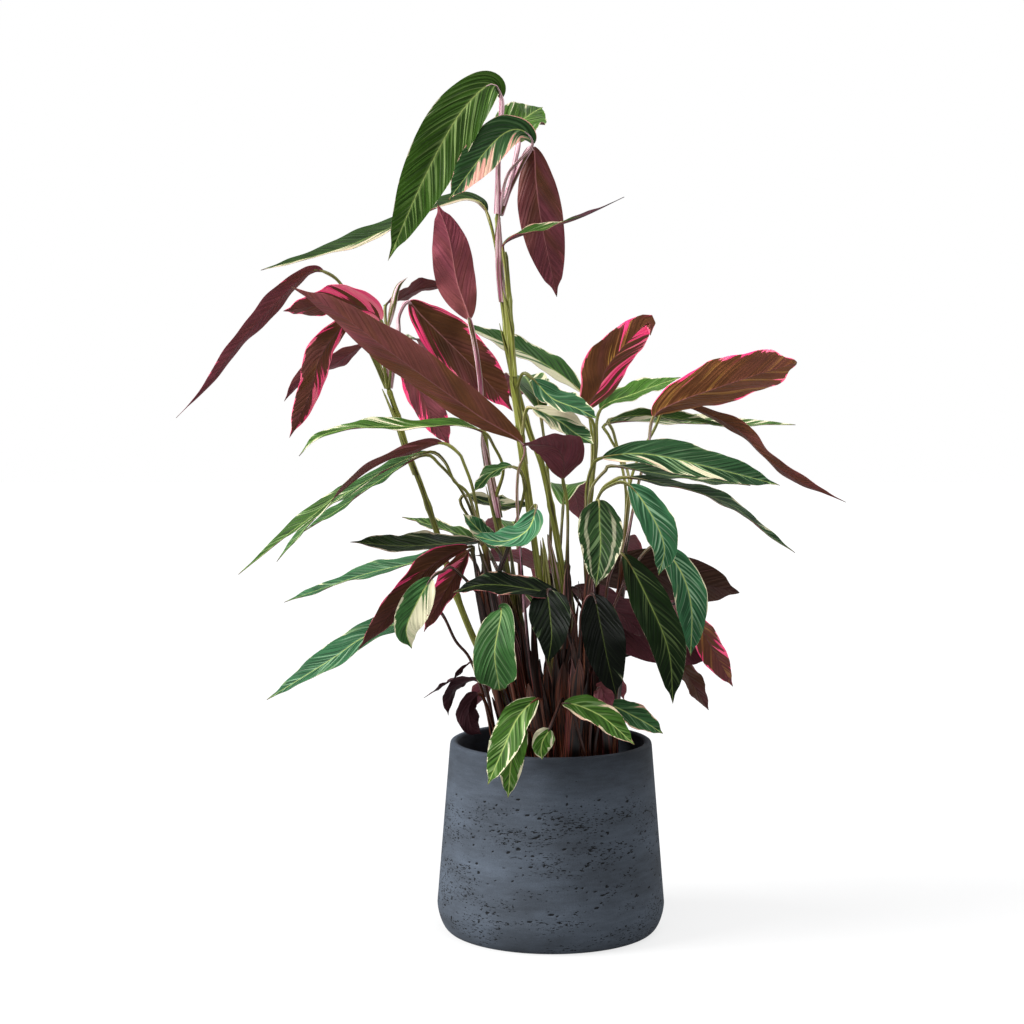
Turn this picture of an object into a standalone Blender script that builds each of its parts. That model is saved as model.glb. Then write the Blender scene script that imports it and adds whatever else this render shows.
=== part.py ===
"""Stromanthe triostar growing in a round tapered pot.

The plant stands on the pot's flat base, with the base's centre at the origin,
+Z up and the best side facing -Y. Lengths are metres, but the plant's layout
is written in centimetres and scaled once, by CM.

Each leafy shoot is one closed solid: a foot in a plain hole in the soil, a
cane in most shoots, and a stalk and a blade for each leaf.
"""
import math
from dataclasses import dataclass

import bmesh
import bpy
import numpy as np

CM = 0.01

# Pot, in centimetres
POT_HEIGHT = 20.0
POT_BASE_RADIUS = 10.7
POT_WIDEST_RADIUS = 12.0
POT_WIDEST_HEIGHT = 2.8
POT_RIM_RADIUS = 10.6
POT_WALL = 0.8
POT_FLOOR = 1.2
POT_LIP_ROUND = 0.3
POT_FOOT_HEIGHTS = (1.6, 0.7, 0.2, 0.0)
POT_FOOT_SHAPE = 0.8
POT_STEPS = 36

# Soil, in centimetres
SOIL_TOP = 17.0
SOIL_ROUGHNESS = 0.18
SOIL_RINGS = 4
HOLE_BOTTOM = 12.5
HOLE_PLAY = 0.045
CLEARANCE = 0.03

# Stems, in centimetres
FOOT_RADIUS = 0.55
FOOT_ABOVE_SOIL = 0.5
FOOT_CAP = 1.2
CANE_START = 1.5
STEM_SIDES = 6
CANE_BASE_RADIUS = 0.36
CANE_TOP_RADIUS = 0.27
SHEATH_RADIUS = 0.22
STALK_RADIUS = 0.16
STALK_END_RADIUS = 0.13
STALK_STATIONS = (0, 0.3, 0.85, 1)
STALK_OFFSET = 0.18
RING_SPACING = 7.0
CURVE_STEPS = 12

# Blades, in centimetres
BLADE_THICKNESS = 0.09
BLADE_END_HALF_WIDTH = 0.09
WIDEST_AT = 0.45
BASE_FULLNESS = 0.72
FOLD = 0.2
WAVE_HEIGHT = 0.2
WAVE_COUNT = 2.5
BROAD_BLADE = 4.4
BROAD_STEPS = 9
NARROW_STEPS = 7
GOLDEN_ANGLE = 2.399963
RING_ANGLES = (150, 90, 30, -30, -90, -150)
ROLLED_SHAPE = (0.8, 1.0, 0.7, 0.2)
SMOOTH_BELOW = 40


@dataclass
class Leaf:
    """One leaf: `at` is the height where its stalk leaves the cane.

    `stalk` leads to the blade's base, `rib` runs from there to the tip, `wide`
    is the flat width, `face` is where the patterned upper side looks, and
    `widest` is how far along the blade it is widest.
    """
    name: str
    at: float
    stalk: tuple
    rib: tuple
    wide: float
    face: tuple
    rolled: bool = False
    widest: float = WIDEST_AT


@dataclass
class Shoot:
    """One leafy stem: the foot's place in the soil, its cane's route and its leaves."""
    name: str
    foot: tuple
    cane: tuple
    leaves: tuple


SHOOTS = (
    Shoot("shoot_tall", (1, 0), (
        (1.5, 0, 25), (1.5, 0, 35), (-0.6, 0, 47.5), (-2.3, 0, 52.5), (-3.9, 0, 58.5), (-5.3, 0, 68),
        (-5.6, 0, 75),
    ), (
        Leaf("crown", 75, ((-5.5, -0.5, 81.5), (-5.2, 0.3, 86.8)),
             ((-6.5, -0.8, 88.1), (-9.7, -3, 84.5), (-13.1, -5, 78), (-16.5, -8, 69.8)), 5.5, (0.35, -1, 0.45),
             widest=0.42),
        Leaf("streaked", 75, ((-4.5, -1, 79), (-2, -1, 82)),
             ((-3.5, -1.5, 83.5), (-6, -3, 82), (-10.5, -6, 76)), 4, (0.1, -1, 0.5)),
        Leaf("young", 75, ((-4.5, 0.5, 77.5), (-3.4, 2, 82.5)),
             ((-3.3, 4.5, 84.7), (-2.2, 6.5, 85.9), (-0.8, 9, 87)), 5.4, (-0.1, -1, 0.35), widest=0.38),
        Leaf("hanging", 75, ((-4, 1, 78.5), (-2, 1.5, 82)),
             ((-1.6, 1.5, 78.5), (-1, 1, 74), (0.6, 2, 66.5)), 4.6, (0.1, 1, 0.15)),
        Leaf("level", 62.5, ((-5.6, 1, 70.5), (-6.7, 1.5, 75.2)),
             ((-8, 2.2, 76.6), (-10.5, 3, 76.5), (-16, 5, 74.3), (-22.5, 6, 71.7), (-31, 7, 69.5)), 4.6, (0.1, -0.45, 1)),
    )),
    Shoot("shoot_second", (2, -2.5), (
        (1, -2.5, 25.5), (-0.5, -2.5, 33), (-1.5, -2.5, 39), (-2.6, -2.5, 47.5), (-3.3, -2, 53.5),
        (-3.9, -2, 59), (-4.4, -2, 66), (-4.8, -2, 71),
    ), (
        Leaf("flag", 66, ((-4.8, -2.5, 69.5), (-5, -2.7, 71)),
             ((-4.8, -2.9, 71.9), (-2.7, -3.2, 72.8), (2.4, -4, 74.2), (7.2, -6, 76.3)), 2.8, (-0.3, -0.25, 1),
             widest=0.3),
        Leaf("fork_upper", 57, ((-3, -3, 58.5), (-2, -3.7, 58)),
             ((0, -5, 56), (2.5, -7, 55), (4.5, -8.5, 54)), 3.4, (0.1, -0.7, 0.9)),
        Leaf("fork_lower", 52, ((-2.7, -3, 54.5), (-2, -3.7, 55)),
             ((0.7, -5, 53.7), (2.3, -6.5, 52.5), (4.2, -8, 51.4)), 3.4, (0.2, -0.7, 0.8)),
    )),
    Shoot("shoot_upright", (-0.5, 2), (
        (-2, 1.5, 25), (-4, 1, 34.5), (-5.5, 1, 43), (-6.5, 1, 48.5), (-7, 0.5, 52.5),
    ), (
        Leaf("upright", 52.5, ((-7.5, -0.5, 58.5), (-8.5, -0.5, 64)),
             ((-9.8, -0.5, 68), (-10.6, -0.5, 72.5), (-11.8, 0, 76)), 4.3, (-0.2, 1, 0.1)),
        Leaf("level", 45.5, ((-5, 0, 48.5), (-6, -1, 51), (-7, -3.5, 52.5)),
             ((-9.5, -5, 53.3), (-12.5, -6, 53.2), (-19.5, -8, 53.1), (-23.5, -8.5, 52.2), (-25.5, -8.5, 50.3)),
             3.6, (0.1, -0.25, 1)),
    )),
    Shoot("shoot_long_leaf", (-0.5, -5), (), (
        Leaf("long", 17, ((-1.5, -5.5, 24), (-2.5, -6, 31.5), (-3.5, -7.5, 44), (-3.5, -8, 48.5),
                          (-3, -8.5, 51.5)),
             ((-7.5, -10, 54.5), (-15, -13, 60), (-21, -14.5, 64.5), (-25.5, -15, 67)), 4.8, (0.35, 0.9, 0.6)),
    )),
    Shoot("shoot_left_fan", (-4, -1), (
        (-5.5, -1, 25.5), (-8, -0.5, 30.5), (-10, 0, 35.5), (-12, 0, 42), (-13.5, 0, 46.5), (-15, 0, 50.5),
        (-16, 0, 54), (-17, 0, 57),
    ), (
        Leaf("outer", 57, ((-19, -0.5, 62), (-20.5, -1, 65.5), (-22, -1, 68), (-23.5, -1, 69)),
             ((-24.7, -1, 69.2), (-26.3, -1.5, 68), (-31.5, -3, 62.4), (-35.5, -4, 57.1), (-38.5, -4, 54)),
             2.6, (-0.5, 0.7, 0.7), widest=0.32),
        Leaf("arched", 57, ((-17.5, -2, 61), (-17.5, -3, 63.9)),
             ((-19.5, -4, 65.3), (-22.2, -5, 65.7), (-27, -8, 64.8)), 4.2, (-0.1, 0.75, 0.75)),
        Leaf("hanging", 57, ((-19, -0.5, 61), (-20.5, -1, 64)),
             ((-21.8, -2, 63.2), (-23.7, -4, 60.3), (-24.7, -5, 56.5), (-26.8, -5, 52)), 3.2, (-0.6, 0.9, 0.2)),
        Leaf("shaded", 57, ((-18, 1.5, 59.5), (-19.5, 3, 61.5)),
             ((-23, 4.5, 59.5), (-26.5, 6, 58), (-28.5, 6, 55.5)), 2.6, (-0.3, 0.6, 0.8)),
        Leaf("broad", 57, ((-16, 1, 62), (-16, 2, 64.5), (-15, 2.5, 66)),
             ((-13.5, 3, 64.5), (-11.5, 3, 62.5), (-7.5, 3, 58.5), (-4, 3, 54.5)), 5.4, (0.3, 1, 0.3)),
        Leaf("behind", 57, ((-17, 2, 61), (-17.5, 4, 65.5)),
             ((-16, 6, 66.5), (-14, 7.5, 67.5), (-11, 9, 68)), 3.2, (-0.1, 0.6, 0.9)),
        Leaf("pink", 57, ((-16.5, -1.5, 59.5), (-16, -2, 60.5)),
             ((-14.5, -2, 58.5), (-12.5, -2.5, 54.5), (-10.5, -2.5, 51)), 3.8, (0.4, 0.9, 0.1)),
        Leaf("rear", 57, ((-17, 1.5, 60), (-16, 4, 62)),
             ((-14, 8, 62), (-12, 13, 60), (-11, 17, 56)), 4.4, (0.3, 0.2, 1)),
        Leaf("new", 57, ((-17, 0.5, 61), (-17, 0.5, 63)),
             ((-16.5, 0.5, 65.5), (-16, 1, 67.5), (-15, 1, 68.5)), 0.7, (0, -1, 0), rolled=True),
    )),
    Shoot("shoot_left_arching", (-2, -3), ((-4, -4, 26), (-5.5, -5, 33.5), (-7, -5.5, 41.5)), (
        Leaf("front", 41, ((-8, -6, 46.5), (-9, -6.5, 49.5), (-9.5, -7, 50.5), (-11, -7, 51.5)),
             ((-13.3, -7.5, 51.2), (-18.4, -9, 49), (-23.5, -10, 44.8), (-26.5, -10, 42.5), (-31.5, -10, 38.5)),
             4, (-0.3, -0.3, 1)),
        Leaf("middle", 41, ((-8.5, -4.5, 46), (-10, -4.5, 47.5), (-11, -4, 49.5), (-12.5, -4, 50.5)),
             ((-15.5, -4.5, 49.5), (-21.5, -6, 46), (-24.5, -7, 43.5), (-28, -7, 39.5)), 3.2, (-0.4, -0.3, 1)),
        Leaf("rear", 41, ((-9, -3.5, 46), (-11.5, -2, 49), (-13.5, -1.5, 50)),
             ((-18.5, -2, 47), (-22, -2.5, 44.5), (-26, -3, 42)), 3, (-0.3, -0.25, 1)),
    )),
    Shoot("shoot_left_low", (-3, 2.5), ((-5, 2, 25), (-6, 1.5, 30.5), (-7, 1, 35.5), (-7, 0.5, 39)), (
        Leaf("level", 39, ((-7, 0, 40.5), (-7.5, -1, 41)),
             ((-11.5, -4, 41), (-15.5, -6, 41), (-20.5, -7, 41.5)), 4.3, (0, -0.45, 1)),
        Leaf("edge_on", 36, ((-7, 2, 39), (-7.5, 3, 40.5)),
             ((-12, 5, 42), (-16, 7, 43)), 3.2, (-0.2, -0.05, 1)),
        Leaf("sinking", 36, ((-8, 2, 38.5), (-10, 3, 40)),
             ((-14, 4, 38.5), (-19.5, 6, 37), (-25, 8, 35), (-29, 9, 33.5)), 3.6, (-0.2, -0.35, 1)),
    )),
    Shoot("shoot_left_hanging", (-4, -4), ((-5.5, -4.5, 25), (-6.5, -5, 31), (-7.5, -5, 37)), (
        Leaf("brown", 36, ((-8, -6, 40), (-8.5, -7, 41)),
             ((-12.4, -9, 39.2), (-15.8, -11, 35.2), (-19.5, -11, 31)), 3.4, (-0.6, 0.9, 0.6)),
        Leaf("white_half", 36, ((-10, -9, 39), (-11, -12, 39), (-12, -13, 38.5)),
             ((-13.5, -14, 36), (-14.5, -14, 33.5), (-14, -13.5, 31.5)), 3.2, (0.1, -1, 0.1)),
        Leaf("red", 36, ((-8, -5, 39.5), (-8.5, -5.5, 40.5)),
             ((-10, -7, 38), (-11.5, -8, 35.5), (-13, -8.5, 32.5)), 2.8, (-0.5, 0.9, 0.2)),
    )),
    Shoot("shoot_left_bottom", (-5.5, 1), (), (
        Leaf("low", 17, ((-7, 1, 24), (-8.5, 0, 28.5), (-10, -0.5, 30.5), (-12, -1.5, 34)),
             ((-15.5, -4, 33), (-19.5, -6, 31.5), (-22.5, -7, 29.5), (-29, -8, 25.5)), 4, (-0.3, -0.6, 1)),
        Leaf("dry_upper", 17, ((-6.5, 1, 24), (-8, 1.5, 28)),
             ((-10.5, 2, 26), (-13.5, 2.5, 24)), 1.2, (-0.3, 0.2, 1)),
        Leaf("dry_front", 17, ((-6, 0.3, 21), (-6.9, -0.5, 24), (-7.6, -1, 25)),
             ((-8.6, -1.5, 23.8), (-8.4, -1.7, 21.8), (-7.3, -1.5, 20.8)), 2.6, (-0.4, 0.7, 0.3)),
        Leaf("dry_lower", 17, ((-6.2, 2, 22), (-7.5, 4, 25.5)),
             ((-10, 5, 25), (-11, 6, 23), (-11, 6, 21.5)), 1.8, (-0.3, 0.5, 0.4)),
    )),
    Shoot("shoot_centre_dark", (0.5, 4), ((0, 3.5, 25), (0, 3.5, 30)), (
        Leaf("level", 30, ((0, 3.5, 34.5), (0.5, 4, 37)),
             ((-1.5, 4.3, 38.2), (-4.5, 4.3, 38.8), (-8, 5, 39)), 3.6, (0, -0.4, 1)),
    )),
    Shoot("shoot_centre_pale", (-1.5, -0.5), ((-3.5, 0, 26), (-4.5, 0, 32.5), (-5.5, -1, 38)), (
        Leaf("pale", 38, ((-3.5, -4, 42.5), (-2, -6.5, 45), (-1.7, -9, 45)),
             ((-2.6, -11, 43), (-5, -12.3, 42), (-8, -13.5, 42.7)), 3.2, (-0.1, -0.6, 0.8)),
        Leaf("shaded", 38, ((-7.5, 3, 41.5), (-9.5, 4, 44.5), (-9, 4, 45.5)),
             ((-5.5, 3.5, 44.5), (-2, 3, 44.5)), 3, (0.1, -0.45, 1)),
        Leaf("small_left", 38, ((-5.2, -4, 39.5), (-5.8, -7, 41)),
             ((-7.6, -8.5, 43), (-9, -9, 44.5)), 2.2, (-0.2, -0.7, 0.7)),
        Leaf("small_top", 38, ((-3, -2.5, 45.5), (-3, -4, 48), (-4, -4.5, 49)),
             ((-6, -5, 48.5), (-8, -5.5, 46.5)), 2.3, (-0.2, -0.5, 1)),
    )),
    Shoot("shoot_centre_cup", (1.5, -5), ((1, -5, 26), (1.5, -6, 33.5), (1.5, -7, 39.5)), (
        Leaf("forward", 39, ((1.5, -8, 45), (1, -9, 48)),
             ((1, -11.5, 50), (0, -14, 51.5), (-3, -19, 52)), 4.8, (-0.1, 0.55, 1)),
        Leaf("over_rim", 24, ((1, -7.5, 25.5), (-0.3, -10, 22.9)),
             ((-1, -11, 21.9), (-1.2, -11.5, 21), (-1.1, -11.7, 20.1)), 2.2, (0.1, -1, 0.2)),
    )),
    Shoot("shoot_right_high", (4.5, 4.5), ((4.5, 5, 24.5), (4.5, 5, 34), (4, 5, 43)), (
        Leaf("bronze", 43, ((4.5, 3, 47), (4.5, 1, 53), (3.5, 0, 54.5)),
             ((4.9, -1, 57), (5.9, -2, 59.5), (8.6, -4, 62.7), (9.9, -4.5, 63.7), (10, -4.5, 62.4)),
             5, (-0.3, 0.9, 0.5)),
        Leaf("crossing", 43, ((4.5, 6, 50.5), (4, 7, 55.3), (3.5, 7, 56.3)),
             ((1.2, 8, 58.3), (-3, 9.5, 60.8), (-10, 11, 64)), 4.3, (0.1, -0.45, 1)),
        Leaf("bright", 43, ((5, 7.5, 50), (5.5, 9, 54.5)),
             ((9.5, 11, 56.3), (14.5, 13, 58)), 4.2, (-0.1, -0.4, 1)),
    )),
    Shoot("shoot_right_brown", (6, 0), ((6.5, 0.5, 25), (7, 1, 32.5), (7.5, 1, 39)), (
        Leaf("olive", 39, ((9, 0, 46.5), (10, -1, 50.5), (10.5, -2, 54)),
             ((12.5, -3, 55.5), (17, -5, 57.2), (21, -7, 58.6), (24.5, -8, 59.7)), 6.2, (-0.2, 0.9, 0.7),
             widest=0.58),
        Leaf("falling", 39, ((8.5, 2, 47.5), (11, 4, 52.5), (12.5, 4, 55)),
             ((16, 4, 54.5), (20, 4, 52.5), (23, 3, 49.5), (26.5, 2, 47), (31, 1, 45)), 2.7, (0.4, 0.5, 0.9)),
        Leaf("tucked", 39, ((8, 3.5, 46), (6.8, 5.5, 52), (6.3, 6.5, 53.5)),
             ((10, 8, 54), (14.5, 8.5, 53.5), (19.5, 9, 52.7)), 2.4, (0.1, 0.5, 1)),
        Leaf("level", 39, ((8.5, 6, 47), (6.5, 8, 51.5), (6, 9, 52.9)),
             ((10, 11, 53.3), (16.5, 13, 52.9), (27.5, 15, 52.7)), 4.2, (0, -0.28, 1)),
    )),
    Shoot("shoot_right_bright", (4.5, -2.5), ((5, -3, 25.5), (4, -3, 35), (3.5, -4, 43.5)), (
        Leaf("bright", 43, ((3.5, -5, 46.5), (4, -6, 49), (5, -6.5, 50)),
             ((9, -8, 50.5), (14.5, -10, 49.5), (22.5, -11, 47.5)), 4.4, (0.1, -0.75, 0.8)),
        Leaf("level", 43, ((4, -3.2, 46.5), (5.5, -3, 48.5), (6.5, -3, 49)),
             ((12.5, -3.6, 48), (20.5, -3, 47)), 3.8, (0.1, -0.3, 1)),
        Leaf("falling", 43, ((5, -5, 46.5), (6, -5.5, 47.5), (7.5, -6, 48)),
             ((11, -7.2, 47.5), (15, -8, 46.5), (18.5, -8, 45), (21.5, -8, 42.5), (24.5, -8, 40.5)),
             3, (0.35, -0.35, 1)),
    )),
    Shoot("shoot_right_heart", (3.5, -5), ((3.5, -6, 26), (3.5, -7.5, 35.5), (4, -8.5, 42)), (
        Leaf("bent", 41, ((4.5, -9, 46), (6, -9.5, 47.5), (7.5, -10, 47.5)),
             ((9.5, -11, 45), (11, -11.5, 41.5), (10.5, -11, 38.5)), 3.6, (0.3, -1, 0.4)),
        Leaf("heart", 41, ((4, -10, 44.5), (4.5, -11, 46)),
             ((4.5, -13.5, 44), (4.5, -16, 41.5), (4, -17.5, 38)), 4.4, (0, -1, 0.7)),
    )),
    Shoot("shoot_right_veined", (5.5, -5.5), ((5, -7, 26.5), (5, -8, 33.5)), (
        Leaf("veined", 32.5, ((5.5, -8.5, 37), (6, -9, 39), (7, -9.5, 40.5)),
             ((9.5, -11, 36), (11.5, -11.5, 31), (12, -11, 25.6)), 4, (0.2, -1, 0.2)),
        Leaf("side", 32.5, ((7.5, -6.5, 37.5), (9.5, -6.5, 40.5), (11, -7, 41)),
             ((13, -8, 38.5), (14, -8.5, 35), (14, -8, 30)), 3.5, (0.25, -1, 0.25)),
    )),
    Shoot("shoot_right_dark", (6.5, 3), ((6.5, 3.5, 24.5), (6.5, 4, 30)), (
        Leaf("dark", 30, ((5.6, 4, 33.5), (4.6, 4, 36)),
             ((5.2, 4.2, 36.9), (9.5, 4.2, 37.2), (14.8, 4, 36.3), (20.1, 3, 35.2)), 5.4, (0, -1, 0.45),
             widest=0.5),
        Leaf("edged", 30, ((9.5, 2, 33), (13.5, 0, 34.5), (14.5, -1, 34)),
             ((15.7, -2, 31.7), (17.1, -2.5, 29.2), (18.9, -2.5, 26)), 3, (-0.5, 0.9, 0.2)),
        Leaf("maroon", 30, ((5.3, 1.7, 33), (4.2, 0.8, 34.3)),
             ((4.9, 0, 33.3), (10.8, -1, 31.1), (17, -1.5, 28.6)), 6, (0.1, -1, 0.3)),
        Leaf("inner", 30, ((3.8, 2, 33), (2.3, 1, 36)),
             ((5.8, -2, 34.5), (8, -2.9, 33), (10, -3.3, 31)), 3.4, (0.2, -0.9, 0.6)),
        Leaf("under", 28, ((10.5, 3, 29), (13, 3, 28.5)),
             ((14.7, 3, 26.2), (16.9, 3, 22.6)), 2.9, (0.4, -0.6, 0.6)),
        Leaf("rear", 30, ((7, 6, 33), (8, 8, 36)),
             ((11, 12, 36), (14, 16, 33), (16, 18, 28)), 4.4, (0.3, 0.3, 1)),
    )),
    Shoot("shoot_front_dark", (2, -7.5), ((2.5, -8.5, 26.5), (2.5, -9, 32)), (
        Leaf("right", 30, ((3, -9.5, 35), (4, -10.5, 36.5)),
             ((4.7, -13, 33.5), (5.3, -14, 30.5), (6.2, -14, 26.8)), 4.2, (0.1, -1, 0.2)),
        Leaf("across", 31, ((2.2, -9.3, 34), (0.8, -10, 36.3)),
             ((-2, -10.5, 37), (-4.8, -11, 37.5), (-7.5, -11, 37.5), (-10, -10.5, 36.7)),
             3.4, (-0.1, -0.6, 0.9)),
        Leaf("left", 30, ((0.5, -9.5, 35.5), (-0.5, -10.5, 37)),
             ((-0.3, -12.5, 34.5), (-0.2, -13.5, 32.5), (-0.6, -13.5, 29.8)), 4.2, (-0.1, -1, 0.3),
             widest=0.36),
    )),
    Shoot("shoot_rim_right", (4, -7.5), (), (
        Leaf("long", 17, ((3, -9, 21), (2, -10, 24.5), (1, -10.5, 25.5)),
             ((2.5, -11.5, 25.5), (5, -13, 24.5), (8, -14, 22)), 3, (0.2, -0.9, 0.7)),
        Leaf("short", 17, ((4.5, -8, 22), (5.5, -9, 25)),
             ((8.5, -9.5, 23.9), (11.1, -10, 22.4)), 2.8, (0.1, -0.8, 0.7)),
        Leaf("red", 17, ((3.8, -8.5, 22), (4.6, -9.5, 27)),
             ((5.2, -10.2, 26), (5.6, -10.8, 24.8)), 2, (-0.2, 0.8, 0.6)),
    )),
    Shoot("shoot_rim_front", (0, -7.5), (), (
        Leaf("long", 17, ((-0.5, -8.5, 21), (-1, -9.5, 24.5), (-1.5, -10.5, 26)),
             ((-3.5, -12.5, 24.5), (-5, -14, 21.5), (-6.5, -14, 18)), 3.3, (-0.3, -1, 0.4)),
        Leaf("short", 17, ((-0.5, -9, 21), (-2.5, -11, 23)),
             ((-4, -12.5, 21), (-4.5, -13, 16.5)), 2.5, (0.1, -1, 0.2)),
    )),
    Shoot("shoot_round", (-2.5, -6.5), (), (
        Leaf("round", 17, ((-4, -8.5, 26.5), (-5.5, -9.5, 32), (-5.3, -10.6, 35)),
             ((-5.2, -12.6, 34.6), (-5.8, -14.4, 31.2), (-5.3, -14, 27.4)), 4.3, (-0.2, -1, 0.3), widest=0.7),
    )),
    Shoot("shoot_back_left", (-2.5, 5.5), (), (
        Leaf("upper", 17, ((-3, 6, 30), (-3.5, 8, 40)),
             ((-4, 12, 42), (-5, 17, 41), (-6, 22, 37)), 4.6, (0, 0.3, 1)),
        Leaf("lower", 17, ((-2, 6.5, 26), (-1.5, 8, 33)),
             ((-2.5, 12, 34), (-4, 17, 32), (-5, 21, 28)), 4.4, (0, 0.3, 1)),
        Leaf("rim", 17, ((-3, 6.5, 21), (-4, 9, 24.5)),
             ((-5, 11.5, 25), (-7, 14, 23.5), (-8.5, 16, 20.5)), 3.2, (-0.2, 0.4, 1)),
    )),
    Shoot("shoot_back", (0.5, 6.5), ((0.5, 7, 26), (0, 7, 38)), (
        Leaf("top", 37, ((0, 7, 45), (-1, 9, 54)),
             ((-2, 12, 57), (-3, 17, 58), (-4, 22, 55)), 4.6, (0, 0.2, 1)),
        Leaf("middle", 30, ((1, 8, 37), (1.5, 10, 44)),
             ((2, 14, 46), (3, 19, 45), (4, 24, 41)), 4.6, (0, 0.3, 1)),
        Leaf("lower", 22, ((0.5, 8, 27), (0, 10, 35)),
             ((0, 14, 37), (0, 19, 36), (-0.5, 23, 32)), 4.4, (0, 0.3, 1)),
    )),
    Shoot("shoot_back_right", (3, 7), (), (
        Leaf("upper", 17, ((4, 9, 30), (5, 11, 38)),
             ((7, 15, 40), (9, 20, 38), (11, 23, 33)), 4.6, (0.2, 0.3, 1)),
        Leaf("lower", 17, ((4, 9, 25), (5, 11, 31)),
             ((7, 15, 32), (9, 19, 30), (10, 22, 26)), 4.2, (0.2, 0.3, 1)),
        Leaf("rim", 17, ((3.8, 8, 21), (5, 10.5, 24)),
             ((5.6, 13, 25), (7.4, 15, 23.8), (8.6, 16.5, 21.5)), 3, (0.2, 0.4, 1)),
    )),
)


def dense_curve(points):
    """Catmull-Rom curve through the points, with CURVE_STEPS samples from each point to the next."""
    points = np.asarray(points, dtype=float)
    ends = np.vstack([2 * points[0] - points[1], points, 2 * points[-1] - points[-2]])
    t = np.linspace(0, 1, CURVE_STEPS, endpoint=False)[:, None]
    spans = []
    for a, b, c, d in zip(ends, ends[1:], ends[2:], ends[3:]):
        spans.append(0.5 * (2 * b + (c - a) * t + (2 * a - 5 * b + 4 * c - d) * t**2
                            + (3 * b - a - 3 * c + d) * t**3))
    return np.vstack(spans + [points[-1:]])


def along(curve, shares):
    """Points on the curve at the given shares of its length."""
    travelled = np.concatenate([[0], np.cumsum(np.linalg.norm(np.diff(curve, axis=0), axis=1))])
    wanted = np.asarray(shares) * travelled[-1]
    return np.column_stack([np.interp(wanted, travelled, curve[:, axis]) for axis in range(3)])


def unit(vectors):
    """Each vector divided by its length."""
    return vectors / np.linalg.norm(vectors, axis=-1, keepdims=True)


def closed_tube(rings):
    """Vertices and triangles of a closed tube through a stack of rings, shaped (rings, sides, 3).

    The diagonals of neighbouring sides mirror each other, so the two faces of
    a flat six-sided section are split alike.
    """
    count, sides = rings.shape[:2]
    index = np.arange(count * sides).reshape(count, sides)
    faces = []
    for low, high in zip(index, index[1:]):
        for k in range(sides):
            n = (k + 1) % sides
            if k % 3 == 0:
                faces += [(low[k], low[n], high[n]), (low[k], high[n], high[k])]
            else:
                faces += [(low[k], low[n], high[k]), (low[n], high[n], high[k])]
    return rings.reshape(-1, 3), faces + [tuple(index[0][::-1]), tuple(index[-1])]


def round_rings(centres, radii, sides):
    """Rings of equal angles carried along the centres, turning no more than the path does."""
    tangents = unit(np.gradient(centres, axis=0))
    side = np.array([1.0, 0.0, 0.0])
    angles = 2 * math.pi * np.arange(sides) / sides
    rings = []
    for centre, tangent, radius in zip(centres, tangents, radii):
        side = unit(side - tangent * side.dot(tangent))
        other = np.cross(tangent, side)
        rings.append(centre + radius * (np.outer(np.cos(angles), side) + np.outer(np.sin(angles), other)))
    return np.array(rings)


def foot_and_cane(shoot):
    """Centres and radii of the straight foot in the soil and of the cane that rises from it."""
    x, y = shoot.foot
    start = np.array([x, y, SOIL_TOP + FOOT_ABOVE_SOIL])
    bottom = np.array([x, y, HOLE_BOTTOM + CLEARANCE])
    if not shoot.cane:
        centres = np.array([bottom, start, start + (0, 0, FOOT_CAP)])
        return centres, np.array([FOOT_RADIUS, FOOT_RADIUS, 0.5 * FOOT_RADIUS])
    route = [start, start + (0, 0, CANE_START)] + [np.array(p, dtype=float) for p in shoot.cane]
    curve = dense_curve(route)[CURVE_STEPS:]
    steps = max(2, round((curve[-1, 2] - SOIL_TOP) / RING_SPACING))
    path = along(curve, np.linspace(0, 1, steps + 1))
    radii = np.linspace(CANE_BASE_RADIUS, CANE_TOP_RADIUS, len(path))
    return np.vstack([bottom, start, path]), np.concatenate([[FOOT_RADIUS, FOOT_RADIUS], radii])


def leaf_route(shoot, leaf, cane):
    """Where a leaf's stalk starts, just off its cane's middle, and the curve from there to the tip."""
    towards = np.array(leaf.stalk[0], dtype=float)
    if shoot.cane and leaf.at > SOIL_TOP:
        start = np.array([np.interp(leaf.at, cane[:, 2], cane[:, axis]) for axis in range(3)])
    else:
        start = np.array([shoot.foot[0], shoot.foot[1], SOIL_TOP + FOOT_ABOVE_SOIL / 2])
    flat = (towards - start) * (1, 1, 0)
    start = start + STALK_OFFSET * flat / max(np.linalg.norm(flat), STALK_OFFSET)
    curve = dense_curve([start, *leaf.stalk, *leaf.rib])
    base = len(leaf.stalk) * CURVE_STEPS
    return curve[:base + 1], curve[base:]


def half_width(leaf, u):
    """The lens outline u^p (1-u)^q, scaled to the leaf's width, with q set by where it is widest."""
    p = BASE_FULLNESS
    q = p * (1 - leaf.widest) / leaf.widest
    return leaf.wide / 2 * u**p * (1 - u)**q / (leaf.widest**p * (1 - leaf.widest)**q)


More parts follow.
